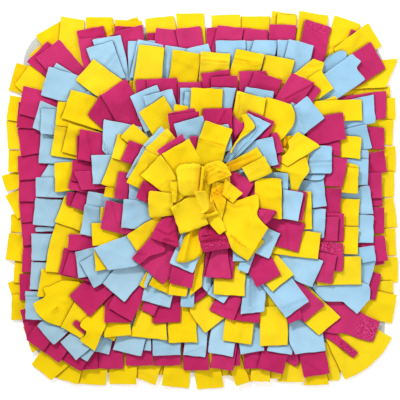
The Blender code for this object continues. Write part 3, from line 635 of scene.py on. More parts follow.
class Cloth:
    """Gathers the leaves of one piece and makes its mesh."""

    def __init__(self):
        self.verts, self.quads, self.grain, self.tone, self.edge, self.kind, self.uv, self.fold, self.speck = [], [], [], [], [], [], [], [], []
        self.count = 0
        self.cells = []  # the size of each leaf side, for the piece's map
        self.area = 0.0

    def sheet(self, x, y, low, thick, tone, seed, us_mm, vs_mm, fold=None, speck=None, rim=CUT_ROUNDING):
        """A closed thin sheet over the plan grid x, y with its underside at low. thick may be a grid.
        The outer row and column are its rounded cut edge."""
        nv, nu = x.shape
        top, bottom = low + thick, low.copy()
        border = np.zeros((nv, nu), bool)
        border[0], border[-1], border[:, 0], border[:, -1] = True, True, True, True
        second = np.zeros((nv, nu), bool)
        second[1:-1, 1:-1] = True
        second[2:-2, 2:-2] = False
        top = np.where(border, top - rim, top)
        bottom = np.where(border, bottom + rim, bottom)
        base = self.count
        n = nv * nu
        for z in (top, bottom):
            self.verts.append(np.stack([x, y, z], -1).reshape(-1, 3))
            grain = np.zeros((nv, nu, 3))
            grain[..., 0], grain[..., 1], grain[..., 2] = us_mm[None, :], vs_mm[:, None], seed * 7.3
            self.grain.append(grain.reshape(-1, 3))
            self.tone.append(np.full(n, tone))
            self.fold.append(np.zeros(n) if fold is None else fold.reshape(-1))
            self.speck.append(np.zeros(n) if speck is None else speck.reshape(-1))
            self.edge.append(np.where(border, 1.0, 0.0).reshape(-1))
            self.kind.append(np.where(border, 2, np.where(second, 1, 0)).reshape(-1))
        idx = np.arange(n).reshape(nv, nu) + base
        a, b, c, d = idx[:-1, :-1], idx[:-1, 1:], idx[1:, 1:], idx[1:, :-1]
        quad_top = np.stack([a, b, c, d], -1).reshape(-1, 4)
        quad_low = np.stack([a, d, c, b], -1).reshape(-1, 4) + n
        loop = np.concatenate([idx[0, :-1], idx[:-1, -1], idx[-1, :0:-1], idx[:0:-1, 0]])
        nxt = np.roll(loop, -1)
        wall = np.stack([loop, loop + n, nxt + n, nxt], -1)
        # map: each side of the leaf is its own rectangle, the wall is a strip round the top's
        w, l = us_mm[-1] - us_mm[0], vs_mm[-1] - vs_mm[0]
        pad = 1.6
        uu, vv = np.meshgrid(us_mm - us_mm[0] + pad, vs_mm - vs_mm[0] + pad)
        flat = np.stack([uu, vv], -1).reshape(-1, 2)
        cell_top, cell_low = len(self.cells), len(self.cells) + 1
        self.cells += [(w + 2 * pad, l + 2 * pad), (w + 2 * pad, l + 2 * pad)]
        mid = np.array([w / 2 + pad, l / 2 + pad])

        def corners(quad, offset, cell):
            at = flat[quad - base - offset]
            self.uv.append((np.full(len(quad), cell), at))

        corners(quad_top, 0, cell_top)
        corners(quad_low, n, cell_low)
        out_a, out_b = flat[loop - base], flat[nxt - base]

        def outward(p):
            q = p.copy()
            q[:, 0] += np.where(np.isclose(p[:, 0], pad), -1.1, 0) + np.where(np.isclose(p[:, 0], w + pad), 1.1, 0)
            q[:, 1] += np.where(np.isclose(p[:, 1], pad), -1.1, 0) + np.where(np.isclose(p[:, 1], l + pad), 1.1, 0)
            return q

        self.uv.append((np.full(len(wall), cell_top), np.stack([out_a, outward(out_a), outward(out_b), out_b], 1)))
        # walking the grid counter-clockwise seen from above needs the plan grid to be right-handed
        e1 = np.array([x[0, -1] - x[0, 0], y[0, -1] - y[0, 0]])
        e2 = np.array([x[-1, 0] - x[0, 0], y[-1, 0] - y[0, 0]])
        quads = [quad_top, quad_low, wall]
        if e1[0] * e2[1] - e1[1] * e2[0] < 0:
            quads = [q[:, ::-1] for q in quads]
            self.uv[-3:] = [(cell, at[:, ::-1]) for cell, at in self.uv[-3:]]
        self.quads += quads
        self.count += 2 * n
        self.area += w * l

    def build(self, name, material):
        verts = np.concatenate(self.verts) * MM
        quads = np.concatenate(self.quads).astype(np.int32)
        mesh = bpy.data.meshes.new(name)
        mesh.vertices.add(len(verts))
        mesh.vertices.foreach_set("co", verts.astype(np.float32).ravel())
        mesh.loops.add(quads.size)
        mesh.loops.foreach_set("vertex_index", quads.ravel())
        mesh.polygons.add(len(quads))
        mesh.polygons.foreach_set("loop_start", np.arange(0, quads.size, 4, dtype=np.int32))
        mesh.polygons.foreach_set("use_smooth", np.ones(len(quads), bool))
        mesh.update(calc_edges=True)
        mesh.validate()
        for key, data, kind in (("tone", self.tone, "FLOAT"), ("edge", self.edge, "FLOAT"), ("fold", self.fold, "FLOAT"), ("speck", self.speck, "FLOAT")):
            made = mesh.attributes.new(key, kind, "POINT")
            made.data.foreach_set("value", np.concatenate(data).astype(np.float32))
        made = mesh.attributes.new("grain", "FLOAT_VECTOR", "POINT")
        made.data.foreach_set("vector", np.concatenate(self.grain).astype(np.float32).ravel())
        spots, side = shelves(self.cells)
        places = [(at + spots[cell][:, None, :]) / side for cell, at in self.uv]
        made = mesh.uv_layers.new(name="OFBake")
        made.data.foreach_set("uv", np.concatenate(places).astype(np.float32).ravel())
        kind = np.concatenate(self.kind)
        pairs = np.empty(len(mesh.edges) * 2, np.int32)
        mesh.edges.foreach_get("vertices", pairs)
        pairs = kind[pairs.reshape(-1, 2)]
        sharp = ((pairs == 2).all(1)) | ((pairs == 1).all(1))
        made = mesh.attributes.get("sharp_edge") or mesh.attributes.new("sharp_edge", "BOOLEAN", "EDGE")
        made.data.foreach_set("value", sharp)
        mesh.materials.append(material)
        obj = bpy.data.objects.new(name, mesh)
        bpy.context.scene.collection.objects.link(obj)
        return obj


PILE = Pile()


class RoundedSquare:
    """A rectangle with round corners, walked by arc length."""

    def __init__(self, half_x, half_y, corner_r, mid_x=0.0, mid_y=0.0):
        self.mid, self.r = (mid_x, mid_y), corner_r
        a, b = half_x - corner_r, half_y - corner_r
        quarter = math.pi / 2 * corner_r
        self.runs = [
            ("line", b, (half_x, 0.0), (0.0, 1.0)), ("arc", quarter, (a, b), 0.0),
            ("line", 2 * a, (a, half_y), (-1.0, 0.0)), ("arc", quarter, (-a, b), math.pi / 2),
            ("line", 2 * b, (-half_x, b), (0.0, -1.0)), ("arc", quarter, (-a, -b), math.pi),
            ("line", 2 * a, (-a, -half_y), (1.0, 0.0)), ("arc", quarter, (a, -b), 1.5 * math.pi),
            ("line", b, (half_x, -b), (0.0, 1.0)),
        ]
        self.length = sum(run[1] for run in self.runs)

    def at(self, s):
        s %= self.length
        for kind, long, start, heading in self.runs:
            if s <= long + 1e-9:
                break
            s -= long
        if kind == "line":
            x, y = start[0] + heading[0] * s, start[1] + heading[1] * s
            out = (heading[1], -heading[0])
        else:
            turn = heading + s / self.r
            out = (math.cos(turn), math.sin(turn))
            x, y = start[0] + self.r * out[0], start[1] + self.r * out[1]
        return (x + self.mid[0], y + self.mid[1]), out


# ---- laying one leaf -----------------------------------------------------------------------------

def smooth_noise(dice, n, size):
    """n values along a line that wander smoothly between about -size and size."""
    knots = [dice.uniform(-1, 1) for _ in range(max(4, n // 4 + 2))]
    at = np.linspace(0, len(knots) - 1.001, n)
    i = at.astype(int)
    t = at - i
    t = t * t * (3 - 2 * t)
    k = np.array(knots)
    return size * ((1 - t) * k[i] + t * k[np.minimum(i + 1, len(k) - 1)])


def smooth_path(points):
    """A function of 0..1 that runs through the points, evenly along them and without sharp bends."""
    p = np.array(points, float)
    if len(p) == 2:
        return lambda t: p[0] + np.asarray(t)[..., None] * (p[1] - p[0])
    ext = np.vstack([2 * p[0] - p[1], p, 2 * p[-1] - p[-2]])
    fine = []
    for k in range(len(p) - 1):
        a, b, c, d = ext[k:k + 4]
        t = np.linspace(0, 1, 12, endpoint=False)[:, None]
        fine.append(0.5 * (2 * b + (c - a) * t + (2 * a - 5 * b + 4 * c - d) * t ** 2 + (3 * b - a - 3 * c + d) * t ** 3))
    fine = np.vstack(fine + [p[-1:]])
    s = np.concatenate(([0.0], np.cumsum(np.linalg.norm(np.diff(fine, axis=0), axis=1))))
    s /= s[-1]
    return lambda t: np.stack([np.interp(t, s, fine[:, 0]), np.interp(t, s, fine[:, 1])], -1)


def off_line(across, along, width, length, line):
    u0, v0, u1, v1 = line[:4]
    ax, ay, bx, by = u0 * width, v0 * length, u1 * width, v1 * length
    x, y = across * width, along * length
    dx, dy = bx - ax, by - ay
    t = np.clip(((x - ax) * dx + (y - ay) * dy) / (dx * dx + dy * dy), 0, 1)
    return np.hypot(x - ax - t * dx, y - ay - t * dy)


def crease(across, along, width, length, line):
    """A soft ridge (height over 0), or a trough between two soft shoulders (height under 0), along a
    line from (u0, v0) to (u1, v1)."""
    far, height, breadth = off_line(across, along, width, length, line), line[4], line[5]
    if height > 0:
        return height * np.exp(-(far / breadth) ** 2)
    return -height * (np.exp(-(far / (2.4 * breadth)) ** 2) - np.exp(-(far / breadth) ** 2))


def slope(across, along, width, length, name, drop, reach):
    """How far a side of a leaf bends down: by drop at its very edge, from reach away from it."""
    away = {"left": across * width, "right": (1 - across) * width, "root": along * length, "tip": (1 - along) * length}[name]
    t = np.clip(1 - away / reach, 0, 1)
    return -drop * (1 - np.sqrt(np.maximum(1 - t * t, 0)))


def lay_leaf(number, row, cloth):
    leaf = dict(zip(LEAF_COLUMNS, row))
    extra = row[len(LEAF_COLUMNS)] if len(row) > len(LEAF_COLUMNS) else {}
    dice = random.Random(number * 131 + 17)
    lie = LIE[leaf["ring"]]
    cell = extra.get("cell", min(lie["cell"], 1.4) if extra.get("creases") else lie["cell"])
    a = np.array([leaf["tip_ax"], leaf["tip_ay"]])
    b = np.array([leaf["tip_bx"], leaf["tip_by"]])
    along = (b - a) / np.linalg.norm(b - a)
    out = np.array([along[1], -along[0]])
    if "out" in extra:
        aim = math.radians(extra["out"])
        if out @ np.array([math.cos(aim), math.sin(aim)]) < 0:
            out = -out
    elif out @ ((a + b) / 2 - np.array(MIDDLE)) < 0:
        out = -out
    t = math.radians(leaf["turn"])
    out = np.array([out[0] * math.cos(t) - out[1] * math.sin(t), out[0] * math.sin(t) + out[1] * math.cos(t)])
    # u runs from the leaf's left side to its right, seen from its root, and v from its root to its tip
    if along[0] * out[1] - along[1] * out[0] < 0:
        a, b, along = b, a, -along
    width, length = np.linalg.norm(b - a), leaf["length"]
    root_share = extra.get("root_width", 1.0)
    root_mid = (a + b) / 2 - out * length
    half = (b - a) / 2
    left = smooth_path([root_mid - half * root_share, *extra.get("left", ()), a])
    right = smooth_path([root_mid + half * root_share, *extra.get("right", ()), b])
    bow = extra.get("bow", dice.uniform(-0.9, 0.9))
    bulge = extra.get("bulge", 0.0)
    side = np.array([-out[1], out[0]])
    corner = extra.get("corner", 0.8)

    def plan(us, vs, wander=None):
        U, V = np.meshgrid(us, vs)
        back = np.clip(corner - (1 - V) * length, 0, corner)
        inset = corner - np.sqrt(corner ** 2 - back ** 2)
        U = 0.5 + (U - 0.5) * (1 - 2 * inset / width)
        P = (1 - U)[..., None] * left(vs)[:, None, :] + U[..., None] * right(vs)[:, None, :]
        P = P + (bow * 4 * V * (1 - V))[..., None] * side
        P = P + (bulge * 4 * U * (1 - U) * V ** 3)[..., None] * out
        if wander is not None:
            w_left, w_right, w_tip = wander
            P = P - (w_left[:, None] * (1 - U) ** 3 + w_right[:, None] * U ** 3)[..., None] * side
            P = P + (w_tip[None, :] * V ** 6)[..., None] * out
        return P

    nu, nv = max(4, int(round(width / cell)) + 1), max(5, int(round(length / cell)) + 1)
    u, v = np.linspace(0, 1, nu), np.linspace(0, 1, nv)
    P = plan(u, v)
    floor = PILE.under(P[..., 0], P[..., 1], 0.5 * cell + 0.3) + LAY_GAP
    z = settle(floor, int(70 * (2.3 / cell) ** 1.5), extra.get("weight", 0.035 * cell / 2.3))
    U, V = np.meshgrid(u, v)
    arch = extra.get("arch", lie["arch"] * dice.uniform(0.2, 1.0))
    lift = extra.get("lift", lie["lift"] * dice.uniform(0.1, 1.0) ** 1.5)
    cup = extra.get("cup", lie["cup"] * dice.uniform(0.0, 1.0))
    twist = extra.get("twist", lie["lift"] * 0.6 * dice.uniform(-1.0, 1.0))
    wave = extra.get("wave", dice.uniform(0.05, 0.30))
    phase = dice.uniform(0, 6.28)
    lean = dice.uniform(-1.2, 1.2)
    z = z + extra.get("rise", 0.0)
    z = z + arch * 4 * V * (1 - V) * (0.8 + 0.2 * V)
    z = z + lift * np.clip((V - 0.45) / 0.55, 0, 1) ** 2
    z = z + abs(twist) * (U if twist > 0 else 1 - U) ** 1.5 * np.clip((V - 0.25) / 0.75, 0, 1) ** 1.5
    z = z + cup * np.abs(2 * U - 1) ** 2.2 * np.clip(V * 1.6, 0, 1)
    z = z + wave * (1 + np.sin(phase + (U * width + lean * V * length) * 2 * math.pi / 19.0)) * np.clip(V * 2, 0, 1)
    creases = extra.get("creases")
    if creases is None:
        creases = []
        if dice.random() < 0.5:  # a bend left from packing, mostly across the leaf
            at, tilt = dice.uniform(0.45, 0.85), dice.uniform(-0.22, 0.22)
            start, end = dice.uniform(-0.1, 0.3), dice.uniform(0.7, 1.1)
            creases.append((start, at - tilt, end, at + tilt, dice.choice((-1.6, -1.2, 0.9)) * dice.uniform(0.6, 1.1), dice.uniform(1.3, 2.2)))
    for line in creases:
        z = z + crease(U, V, width, length, line)
    for name, drop, reach in extra.get("slopes", ()):
        z = z + slope(U, V, width, length, name, drop, reach)
    z = np.maximum(z, floor)
    # the mesh's own grid, with its rounded cut edge and unevenly cut outline
    us = with_rims(width, cell, CUT_ROUNDING)
    vs = with_rims(length, cell, CUT_ROUNDING)
    rough = extra.get("rough", 0.35)
    wander = (
        smooth_noise(dice, len(vs), rough) * np.clip(vs * 3, 0, 1),
        smooth_noise(dice, len(vs), rough) * np.clip(vs * 3, 0, 1),
        smooth_noise(dice, len(us), rough),
    )
    G = plan(us, vs, wander)
    low = resample(z, vs, us)
    # painted shade: how far down in a fold the cloth is, and the painted shade spots listed for the leaf
    UU, VV = np.meshgrid(us, vs)
    fold = np.zeros(UU.shape)
    for line in creases:
        if line[4] < 0:
            deep = min(1.0, -line[4] / 2.6) * 0.6
            fold = np.maximum(fold, deep * np.exp(-(off_line(UU, VV, width, length, line) / (0.8 * line[5])) ** 2))
    for u0, v0, ru, rv, amount in extra.get("painted_shade_spots", ()):
        fold = np.maximum(fold, amount * np.exp(-((UU - u0) / ru) ** 2 - ((VV - v0) / rv) ** 2))
    speck = np.zeros(UU.shape)  # where the nap is rubbed up into small curls: bumped, with painted shade in their gaps and a painted highlight on them
    for u0, v0, ru, rv, amount in extra.get("specks", ()):
        speck = np.maximum(speck, amount * np.clip(1.6 - 1.6 * np.maximum(np.abs(UU - u0) / ru, np.abs(VV - v0) / rv), 0, 1))
    # each leaf's tone: at random, or as listed for the leaf; many listed tones are painted shade, darker on leaves that
    # lie in shade, and painted light, paler on leaves that lie too dark under the lamps
    tone = extra.get("tone", dice.uniform(-1.0, 1.0))
    cloth.sheet(G[..., 0], G[..., 1], low, LEAF_THICK, tone, number + 1, us * width, vs * length, fold, speck)
    # lay its top on the pile
    fu = np.linspace(0, 1, max(8, int(width / 0.5)))
    fv = np.linspace(0, 1, max(8, int(length / 0.5)))
    F = plan(fu, fv)
    top = resample(z, fv, fu) + LEAF_THICK
    PILE.add(F[..., 0].ravel(), F[..., 1].ravel(), top.ravel())


def lay_band(name, cloth):
    """The uncut band of a strip, sewn flat on the base cloth inside its seam line."""
    row = SEAM[name]
    seam = RoundedSquare(row["half_x"], row["half_y"], row["corner_r"], row["mid_x"], row["mid_y"])
    if name == "centre_tuft_yellow":
        return
    steps = max(24, int(seam.length / 4.0))
    z = BASE_TOP + 0.2
    inner, outer = [], []
    for i in range(steps):
        (x, y), out = seam.at(seam.length * i / steps)
        outer.append((x, y))
        inner.append((x - out[0] * BAND_WIDTH, y - out[1] * BAND_WIDTH))
    inner, outer = np.array(inner), np.array(outer)
    # eighth by eighth, so that each part is an ordinary sheet whose ends overlap nothing
    parts = 8
    for k in range(parts):
        i0, i1 = steps * k // parts, steps * (k + 1) // parts
        idx = np.arange(i0, i1 + 1) % steps
        p = inner[idx][:, None, :] * np.linspace(1, 0, 4)[None, :, None] + outer[idx][:, None, :] * np.linspace(0, 1, 4)[None, :, None]
        low = np.full(p.shape[:2], z)
        length = float(np.linalg.norm(np.diff(outer[idx], axis=0), axis=1).sum())
        cloth.sheet(p[..., 0], p[..., 1], low, BAND_THICK, 0.0, 900 + k, np.linspace(0, BAND_WIDTH, 4), np.linspace(0, length, len(idx)))
        fine = np.linspace(0, 1, 12)
        for s in np.linspace(0, len(idx) - 1.001, len(idx) * 8):
            j = int(s)
            q = inner[idx[j]] * (1 - (s - j)) + inner[idx[j + 1]] * (s - j)
            r = outer[idx[j]] * (1 - (s - j)) + outer[idx[j + 1]] * (s - j)
            pts = q[None] * (1 - fine[:, None]) + r[None] * fine[:, None]
            PILE.add(pts[:, 0], pts[:, 1], np.full(12, z + BAND_THICK))


# ---- materials -----------------------------------------------------------------------------------
class Nodes:
    def __init__(self, name):
        self.material = bpy.data.materials.new(name)
        self.material.use_nodes = True
        self.tree = self.material.node_tree
        self.shader = self.tree.nodes["Principled BSDF"]

    def add(self, kind, inputs=(), **settings):
        node = self.tree.nodes.new(kind)
        for key, value in settings.items():
            setattr(node, key, value)
        for key, value in dict(inputs).items():
            socket = node.inputs[key]
            if isinstance(value, bpy.types.NodeSocket):
                self.tree.links.new(value, socket)
            else:
                socket.default_value = value
        return node

    def attribute(self, name, output):
        return self.add("ShaderNodeAttribute", attribute_name=name, attribute_type="GEOMETRY").outputs[output]

    def noise(self, vector, scale, detail=3.0, rough=0.5, output="Fac"):
        return self.add("ShaderNodeTexNoise", {"Vector": vector, "Scale": scale, "Detail": detail, "Roughness": rough}).outputs[output]

    def ramp(self, value, low, high, out_low=0.0, out_high=1.0):
        return self.add("ShaderNodeMapRange", {"Value": value, "From Min": low, "From Max": high, "To Min": out_low, "To Max": out_high}, clamp=True).outputs["Result"]

    def math(self, kind, a, b=0.0):
        return self.add("ShaderNodeMath", {0: a, 1: b}, operation=kind).outputs[0]

    def mix(self, factor, a, b):
        node = self.add("ShaderNodeMix", data_type="RGBA")
        for socket, value in ((node.inputs["Factor"], factor), (node.inputs[6], a), (node.inputs[7], b)):
            if isinstance(value, bpy.types.NodeSocket):
                self.tree.links.new(value, socket)
            else:
                socket.default_value = value
        return node.outputs[2]

    def bump(self, height, strength, distance, normal=None):
        inputs = {"Height": height, "Strength": strength, "Distance": distance}
        if normal is not None:
            inputs["Normal"] = normal
        return self.add("ShaderNodeBump", inputs).outputs["Normal"]


def rgba(colour):
    return (*colour, 1.0)


def fleece(name, colour):
    """Matt anti-pill fleece: a napped face of fine fibres with a few pills, tones that differ a little
    from leaf to leaf and within one, some of them painted shade and painted light, a painted
    highlight along the cut edges, and painted shade in folds, in the gaps of rubbed nap, where it
    is shut in and towards one side of the mat."""
    n = Nodes(name)
    tones = COLOURS[colour]
    grain = n.attribute("grain", "Vector")  # millimetres over the leaf
    soft = n.noise(grain, 0.055, 2.0, 0.5)
    nap = n.noise(grain, 0.9, 4.0, 0.6)
    fibre = n.noise(grain, 3.2, 3.0, 0.7)
    pills = n.add("ShaderNodeTexVoronoi", {"Vector": grain, "Scale": 0.42, "Randomness": 1.0}, feature="F1").outputs["Distance"]
    pill = n.ramp(pills, 0.10, 0.30, 1.0, 0.0)
    pilled = n.math("MULTIPLY", pill, n.ramp(n.noise(grain, 0.12, 1.0), 0.5, 0.66))
    shade = n.ramp(soft, 0.36, 0.66)
    colour_1 = n.mix(n.math("MULTIPLY", shade, 0.60), rgba(tones["main"]), rgba(tones["deep"]))
    colour_2 = n.mix(n.ramp(nap, 0.50, 0.74, 0.0, 0.30), colour_1, rgba(tones["pale"]))
    colour_3 = n.mix(n.ramp(fibre, 0.58, 0.34, 0.0, 0.22), colour_2, rgba(tones["deep"]))
    # each leaf's tone: random variation, with painted shade (deeper) and painted light (paler) on some leaves
    tone = n.attribute("tone", "Fac")
    colour_4 = n.mix(n.ramp(tone, 0.0, 1.0, 0.0, 0.16), colour_3, rgba(tones["pale"]))
    colour_5 = n.mix(n.ramp(tone, 0.0, -1.0, 0.0, 0.50), colour_4, rgba(tones["deep"]))
    # painted light falloff across the mat: the colour is mixed duller and darker towards the left and bottom as painted
    # shade, and purer towards the right and top as painted light
    place = n.add("ShaderNodeSeparateXYZ", {"Vector": n.add("ShaderNodeTexCoord").outputs["Object"]})
    side = n.math("ADD", n.math("MULTIPLY", place.outputs["X"], 3.9), n.math("MULTIPLY", place.outputs["Y"], 1.7))
    colour_5 = n.mix(n.ramp(side, 0.0, -1.0, 0.0, 0.75), colour_5, rgba(tones["dull_in_painted_shade"]))
    colour_5 = n.mix(n.ramp(side, 0.0, 1.0, 0.0, 0.6), colour_5, rgba(tones["pure_in_painted_light"]))
    # painted highlight: the cut edges are mixed towards the paler tone
    edge = n.attribute("edge", "Fac")
    colour_6 = n.mix(n.math("MULTIPLY", edge, 0.35), colour_5, rgba(tones["pale"]))
    # where the nap is rubbed up: painted highlight on the curls and painted shade in the gaps between them
    curls, rubbed_nap_and_painted_shade = n.noise(grain, 0.62, 1.0, 0.4), n.attribute("speck", "Fac")
    colour_6 = n.mix(n.math("MULTIPLY", rubbed_nap_and_painted_shade, n.ramp(curls, 0.47, 0.40, 0.0, 0.75)), colour_6, rgba(tones["fold"]))
    colour_6 = n.mix(n.math("MULTIPLY", rubbed_nap_and_painted_shade, n.ramp(curls, 0.56, 0.64, 0.0, 0.75)), colour_6, rgba(tones["pale"]))
    # painted shade: in folds and in the listed spots the colour is mixed towards its tone in shade
    colour_7 = n.mix(n.math("MULTIPLY", n.attribute("fold", "Fac"), 0.85), colour_6, rgba(tones["fold"]))
    # painted shade: near other cloth, ambient occlusion mixes the colour towards its tone in a fold, and where it is
    # shut in, almost fully to its occlusion shade
    near = n.add("ShaderNodeAmbientOcclusion", {"Distance": 0.0040}, samples=8).outputs["AO"]
    colour_7 = n.mix(n.ramp(near, 0.97, 0.60, 0.0, 0.50), colour_7, rgba(tones["fold"]))
    colour_8 = n.mix(n.ramp(near, 0.84, 0.42, 0.0, 0.96), colour_7, rgba(tones["painted_occlusion_shade"]))
    n.tree.links.new(colour_8, n.shader.inputs["Base Color"])
    n.shader.inputs["Roughness"].default_value = 0.92
    n.shader.inputs["Specular IOR Level"].default_value = 0.15
    n.shader.inputs["Sheen Weight"].default_value = 0.25
    n.shader.inputs["Sheen Roughness"].default_value = 0.6
    n.shader.inputs["Sheen Tint"].default_value = rgba(tones["sheen"])
    rough = n.bump(nap, 0.5, 0.00045)
    rough = n.bump(fibre, 0.45, 0.00022, rough)
    rough = n.bump(pilled, 0.5, 0.0005, rough)
    rough = n.bump(n.math("MULTIPLY", rubbed_nap_and_painted_shade, curls), 0.6, 0.0012, rough)
    n.tree.links.new(rough, n.shader.inputs["Normal"])
    return n.material


def base_weave(name):
    """Pale grey woven base cloth."""
    n = Nodes(name)
    grain = n.attribute("grain", "Vector")
    split = n.add("ShaderNodeSeparateXYZ", {"Vector": grain})
    across = n.math("SINE", n.math("MULTIPLY", split.outputs["X"], 2 * math.pi / 1.1))
    along = n.math("SINE", n.math("MULTIPLY", split.outputs["Y"], 2 * math.pi / 1.1))
    weave = n.math("MULTIPLY", across, along)
    blotch = n.noise(grain, 0.03, 3.0)
    colour = n.mix(n.ramp(blotch, 0.35, 0.7, 0.0, 0.5), (0.67, 0.68, 0.64, 1), (0.60, 0.61, 0.57, 1))
    colour = n.mix(n.ramp(weave, -1.0, 1.0, 0.0, 0.35), colour, (0.51, 0.52, 0.48, 1))
    n.tree.links.new(colour, n.shader.inputs["Base Color"])
    n.shader.inputs["Roughness"].default_value = 0.95
    n.shader.inputs["Specular IOR Level"].default_value = 0.12
    fine = n.noise(grain, 2.4, 3.0)
    normal = n.bump(weave, 0.55, 0.00035)
    normal = n.bump(fine, 0.3, 0.0002, normal)
    n.tree.links.new(normal, n.shader.inputs["Normal"])
    return n.material


# ---- making it -----------------------------------------------------------------------------------
cloths = {name: Cloth() for name in SEAM}

# the base cloth, laid first; its corners are cut by hand, each a little different


def base_corner(x, y):
    """The corner radius of the base cloth on the side of its middle that (x, y) is on."""
    return np.where(x < 0, np.where(y > 0, BASE_CORNER_R[0], BASE_CORNER_R[1]), BASE_CORNER_R[2])


j, i = np.meshgrid(np.arange(PILE.h.shape[0]), np.arange(PILE.h.shape[1]), indexing="ij")
px, py = PILE.x0 + i * PILE_CELL - BASE_MID_X, PILE.y0 + j * PILE_CELL
pr = base_corner(px, py)
qx = np.maximum(np.abs(px) - (BASE_HALF[0] - pr), 0)
qy = np.maximum(np.abs(py) - (BASE_HALF[1] - pr), 0)
PILE.h[np.hypot(qx, qy) <= pr] = BASE_TOP

for name in SEAM:
    lay_band(name, cloths[name])
for number, row in enumerate(LEAVES):
    lay_leaf(number, row, cloths[NODE[row[0]]])

materials = {colour: fleece("fleece_" + colour, colour) for colour in COLOURS}
for name, cloth in cloths.items():
    colour = SEAM[name]["colour"]
    obj = cloth.build("cloth_" + name, materials[colour])
    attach(obj, "root")
    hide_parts(name)


def base_rim(turn):
    """Where a ray from the base cloth's middle meets its outline."""
    dx, dy = math.cos(turn), math.sin(turn)
    r = float(base_corner(dx, dy))
    far = min(BASE_HALF[0] / max(abs(dx), 1e-9), BASE_HALF[1] / max(abs(dy), 1e-9))
    a, b = BASE_HALF[0] - r, BASE_HALF[1] - r
    if far * abs(dx) > a and far * abs(dy) > b:  # it meets the round corner
        near = abs(dx) * a + abs(dy) * b
        far = near + math.sqrt(max(near * near - (a * a + b * b - r * r), 0.0))
    return BASE_MID_X + far * dx, far * dy


def make_base():
    """The base cloth as one sheet: its rounded outline, drawn in ring by ring to the middle."""
    steps = 288
    rim = np.array([base_rim(2 * math.pi * k / steps) for k in range(steps)])
    mid = np.array([BASE_MID_X, 0.0])
    shares = [1.0, 0.996, 0.95, 0.85, 0.7, 0.5, 0.3, 0.12]
    verts, faces = [], []
    mesh = bpy.data.meshes.new("cloth_base")
    rows = {}
    for side in ("top", "low"):
        for k, share in enumerate(shares):
            z = BASE_TOP if side == "top" else BASE_UNDERSIDE
            if k == 0:
                z += -0.5 if side == "top" else 0.5
            rows[side, k] = len(verts)
            verts += [(*(mid + (p - mid) * share), z) for p in rim]
        rows[side, "mid"] = len(verts)
        verts.append((*mid, BASE_TOP if side == "top" else BASE_UNDERSIDE))
    for side in ("top", "low"):
        for k in range(len(shares) - 1):
            for s in range(steps):
                t = (s + 1) % steps
                quad = [rows[side, k] + s, rows[side, k] + t, rows[side, k + 1] + t, rows[side, k + 1] + s]
                faces.append(quad if side == "top" else quad[::-1])
        k = len(shares) - 1
        for s in range(steps):
            t = (s + 1) % steps
            tri = [rows[side, k] + s, rows[side, k] + t, rows[side, "mid"]]
            faces.append(tri if side == "top" else tri[::-1])
    for s in range(steps):
        t = (s + 1) % steps
        faces.append([rows["top", 0] + s, rows["low", 0] + s, rows["low", 0] + t, rows["top", 0] + t])
    verts = np.array(verts)
    mesh.from_pydata((verts * MM).tolist(), [], faces)
    mesh.update()
    made = mesh.attributes.new("grain", "FLOAT_VECTOR", "POINT")
    made.data.foreach_set("vector", verts.astype(np.float32).ravel())
    mesh.materials.append(base_weave("woven_base"))
    mesh.shade_smooth()
    mesh.set_sharp_from_angle(angle=math.radians(35))
    obj = bpy.data.objects.new("cloth_base", mesh)
    bpy.context.scene.collection.objects.link(obj)
    return obj


base_obj = make_base()
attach(base_obj, "root")
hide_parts("base_cloth")



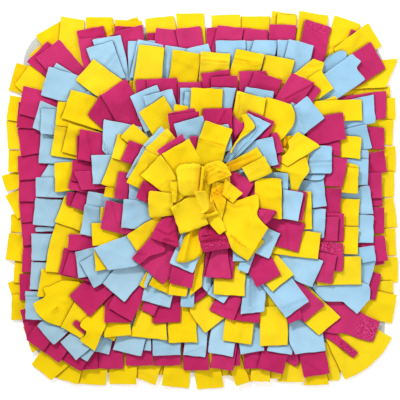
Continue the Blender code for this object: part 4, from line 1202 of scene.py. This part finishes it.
def make_threads():
    """The lockstitch that holds each band, as it shows on the underside of the base cloth."""
    verts, faces, grain = [], [], []
    stitch, step, half_w = 3.3, 4.5, 0.32
    dice = random.Random(5)
    for name, row in SEAM.items():
        if name == "centre_tuft_yellow":
            continue
        seam = RoundedSquare(row["half_x"] - 2.5, row["half_y"] - 2.5, max(row["corner_r"] - 2.5, 4), row["mid_x"], row["mid_y"])
        for k in range(int(seam.length / step)):
            at = seam.length * k / int(seam.length / step)
            (ax, ay), _ = seam.at(at)
            (bx, by), _ = seam.at(at + stitch + dice.uniform(-0.2, 0.2))
            d = np.array([bx - ax, by - ay])
            d /= np.linalg.norm(d)
            s = np.array([-d[1], d[0]]) * half_w
            first = len(verts)
            for share, wide, z in ((0, 0.35, 0.30), (0.22, 1, 0.06), (0.78, 1, 0.06), (1, 0.35, 0.30)):
                p = np.array([ax, ay]) + share * np.array([bx - ax, by - ay])
                verts += [(*(p - s * wide), 0.38), (*(p - s * wide * 0.6), z), (*(p + s * wide * 0.6), z), (*(p + s * wide), 0.38)]
                grain += [(share * 8, k, 0), (share * 8 + 1, k, 0), (share * 8 + 2, k, 0), (share * 8 + 3, k, 0)]
            for i in range(3):
                for j in range(4):
                    a, c = first + i * 4 + j, first + i * 4 + (j + 1) % 4
                    faces.append((a, c, c + 4, a + 4))
            faces.append((first + 3, first + 2, first + 1, first))
            faces.append((first + 12, first + 13, first + 14, first + 15))
    mesh = bpy.data.meshes.new("seam_threads")
    mesh.from_pydata((np.array(verts) * MM).tolist(), [], faces)
    mesh.update()
    made = mesh.attributes.new("grain", "FLOAT_VECTOR", "POINT")
    made.data.foreach_set("vector", np.array(grain, np.float32).ravel())
    n = Nodes("thread")
    twist = n.add("ShaderNodeTexWave", {"Vector": n.attribute("grain", "Vector"), "Scale": 0.35, "Distortion": 1.5}).outputs["Fac"]
    n.tree.links.new(n.mix(twist, (0.50, 0.50, 0.47, 1), (0.72, 0.72, 0.68, 1)), n.shader.inputs["Base Color"])
    n.shader.inputs["Roughness"].default_value = 0.7
    n.tree.links.new(n.bump(twist, 0.5, 0.0001), n.shader.inputs["Normal"])
    mesh.materials.append(n.material)
    obj = bpy.data.objects.new("seam_threads", mesh)
    bpy.context.scene.collection.objects.link(obj)
    return obj


threads = make_threads()
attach(threads, "root")

# ---- floor, light and camera ---------------------------------------------------------------------
bpy.ops.mesh.primitive_plane_add(size=6.0, location=(0, 0, 0.0))
floor = bpy.context.object
floor.name = "floor"
paint = bpy.data.materials.new("floor_paint")
paint.use_nodes = True
paint.node_tree.nodes["Principled BSDF"].inputs["Base Color"].default_value = (0.97, 0.97, 0.97, 1)
paint.node_tree.nodes["Principled BSDF"].inputs["Roughness"].default_value = 0.9
paint.node_tree.nodes["Principled BSDF"].inputs["Emission Color"].default_value = (1, 1, 1, 1)
paint.node_tree.nodes["Principled BSDF"].inputs["Emission Strength"].default_value = 0.28
paint.node_tree.nodes["Principled BSDF"].inputs["Specular IOR Level"].default_value = 0.1
floor.data.materials.append(paint)

scene = bpy.context.scene
scene.view_settings.view_transform = "Standard"
world = bpy.data.worlds.new("studio")
world.use_nodes = True
world.node_tree.nodes["Background"].inputs["Color"].default_value = (1.0, 1.0, 1.0, 1)
world.node_tree.nodes["Background"].inputs["Strength"].default_value = 0.60
scene.world = world


def soft_light(name, place, size, power, colour=(1, 1, 1)):
    data = bpy.data.lights.new(name, "AREA")
    data.shape = "DISK"
    data.size, data.energy, data.color = size, power, colour
    obj = bpy.data.objects.new(name, data)
    obj.location = place
    scene.collection.objects.link(obj)
    direction = -np.array(place)
    from mathutils import Vector
    obj.rotation_mode = "QUATERNION"
    obj.rotation_quaternion = Vector(direction.tolist()).to_track_quat("-Z", "Y")
    return obj


soft_light("key_light", (-0.62, 1.12, 1.25), 0.32, 19.0)
soft_light("fill_light", (1.1, -0.2, 1.2), 0.9, 4.5)

camera = bpy.data.cameras.new("camera")
camera.lens, camera.sensor_width = 180.0, 36.0
camera_obj = bpy.data.objects.new("camera", camera)
camera_obj.location = (0.0, 0.0, 0.456 * 180.0 / 36.0 + 0.004)
camera.clip_end = 20
scene.collection.objects.link(camera_obj)
scene.camera = camera_obj
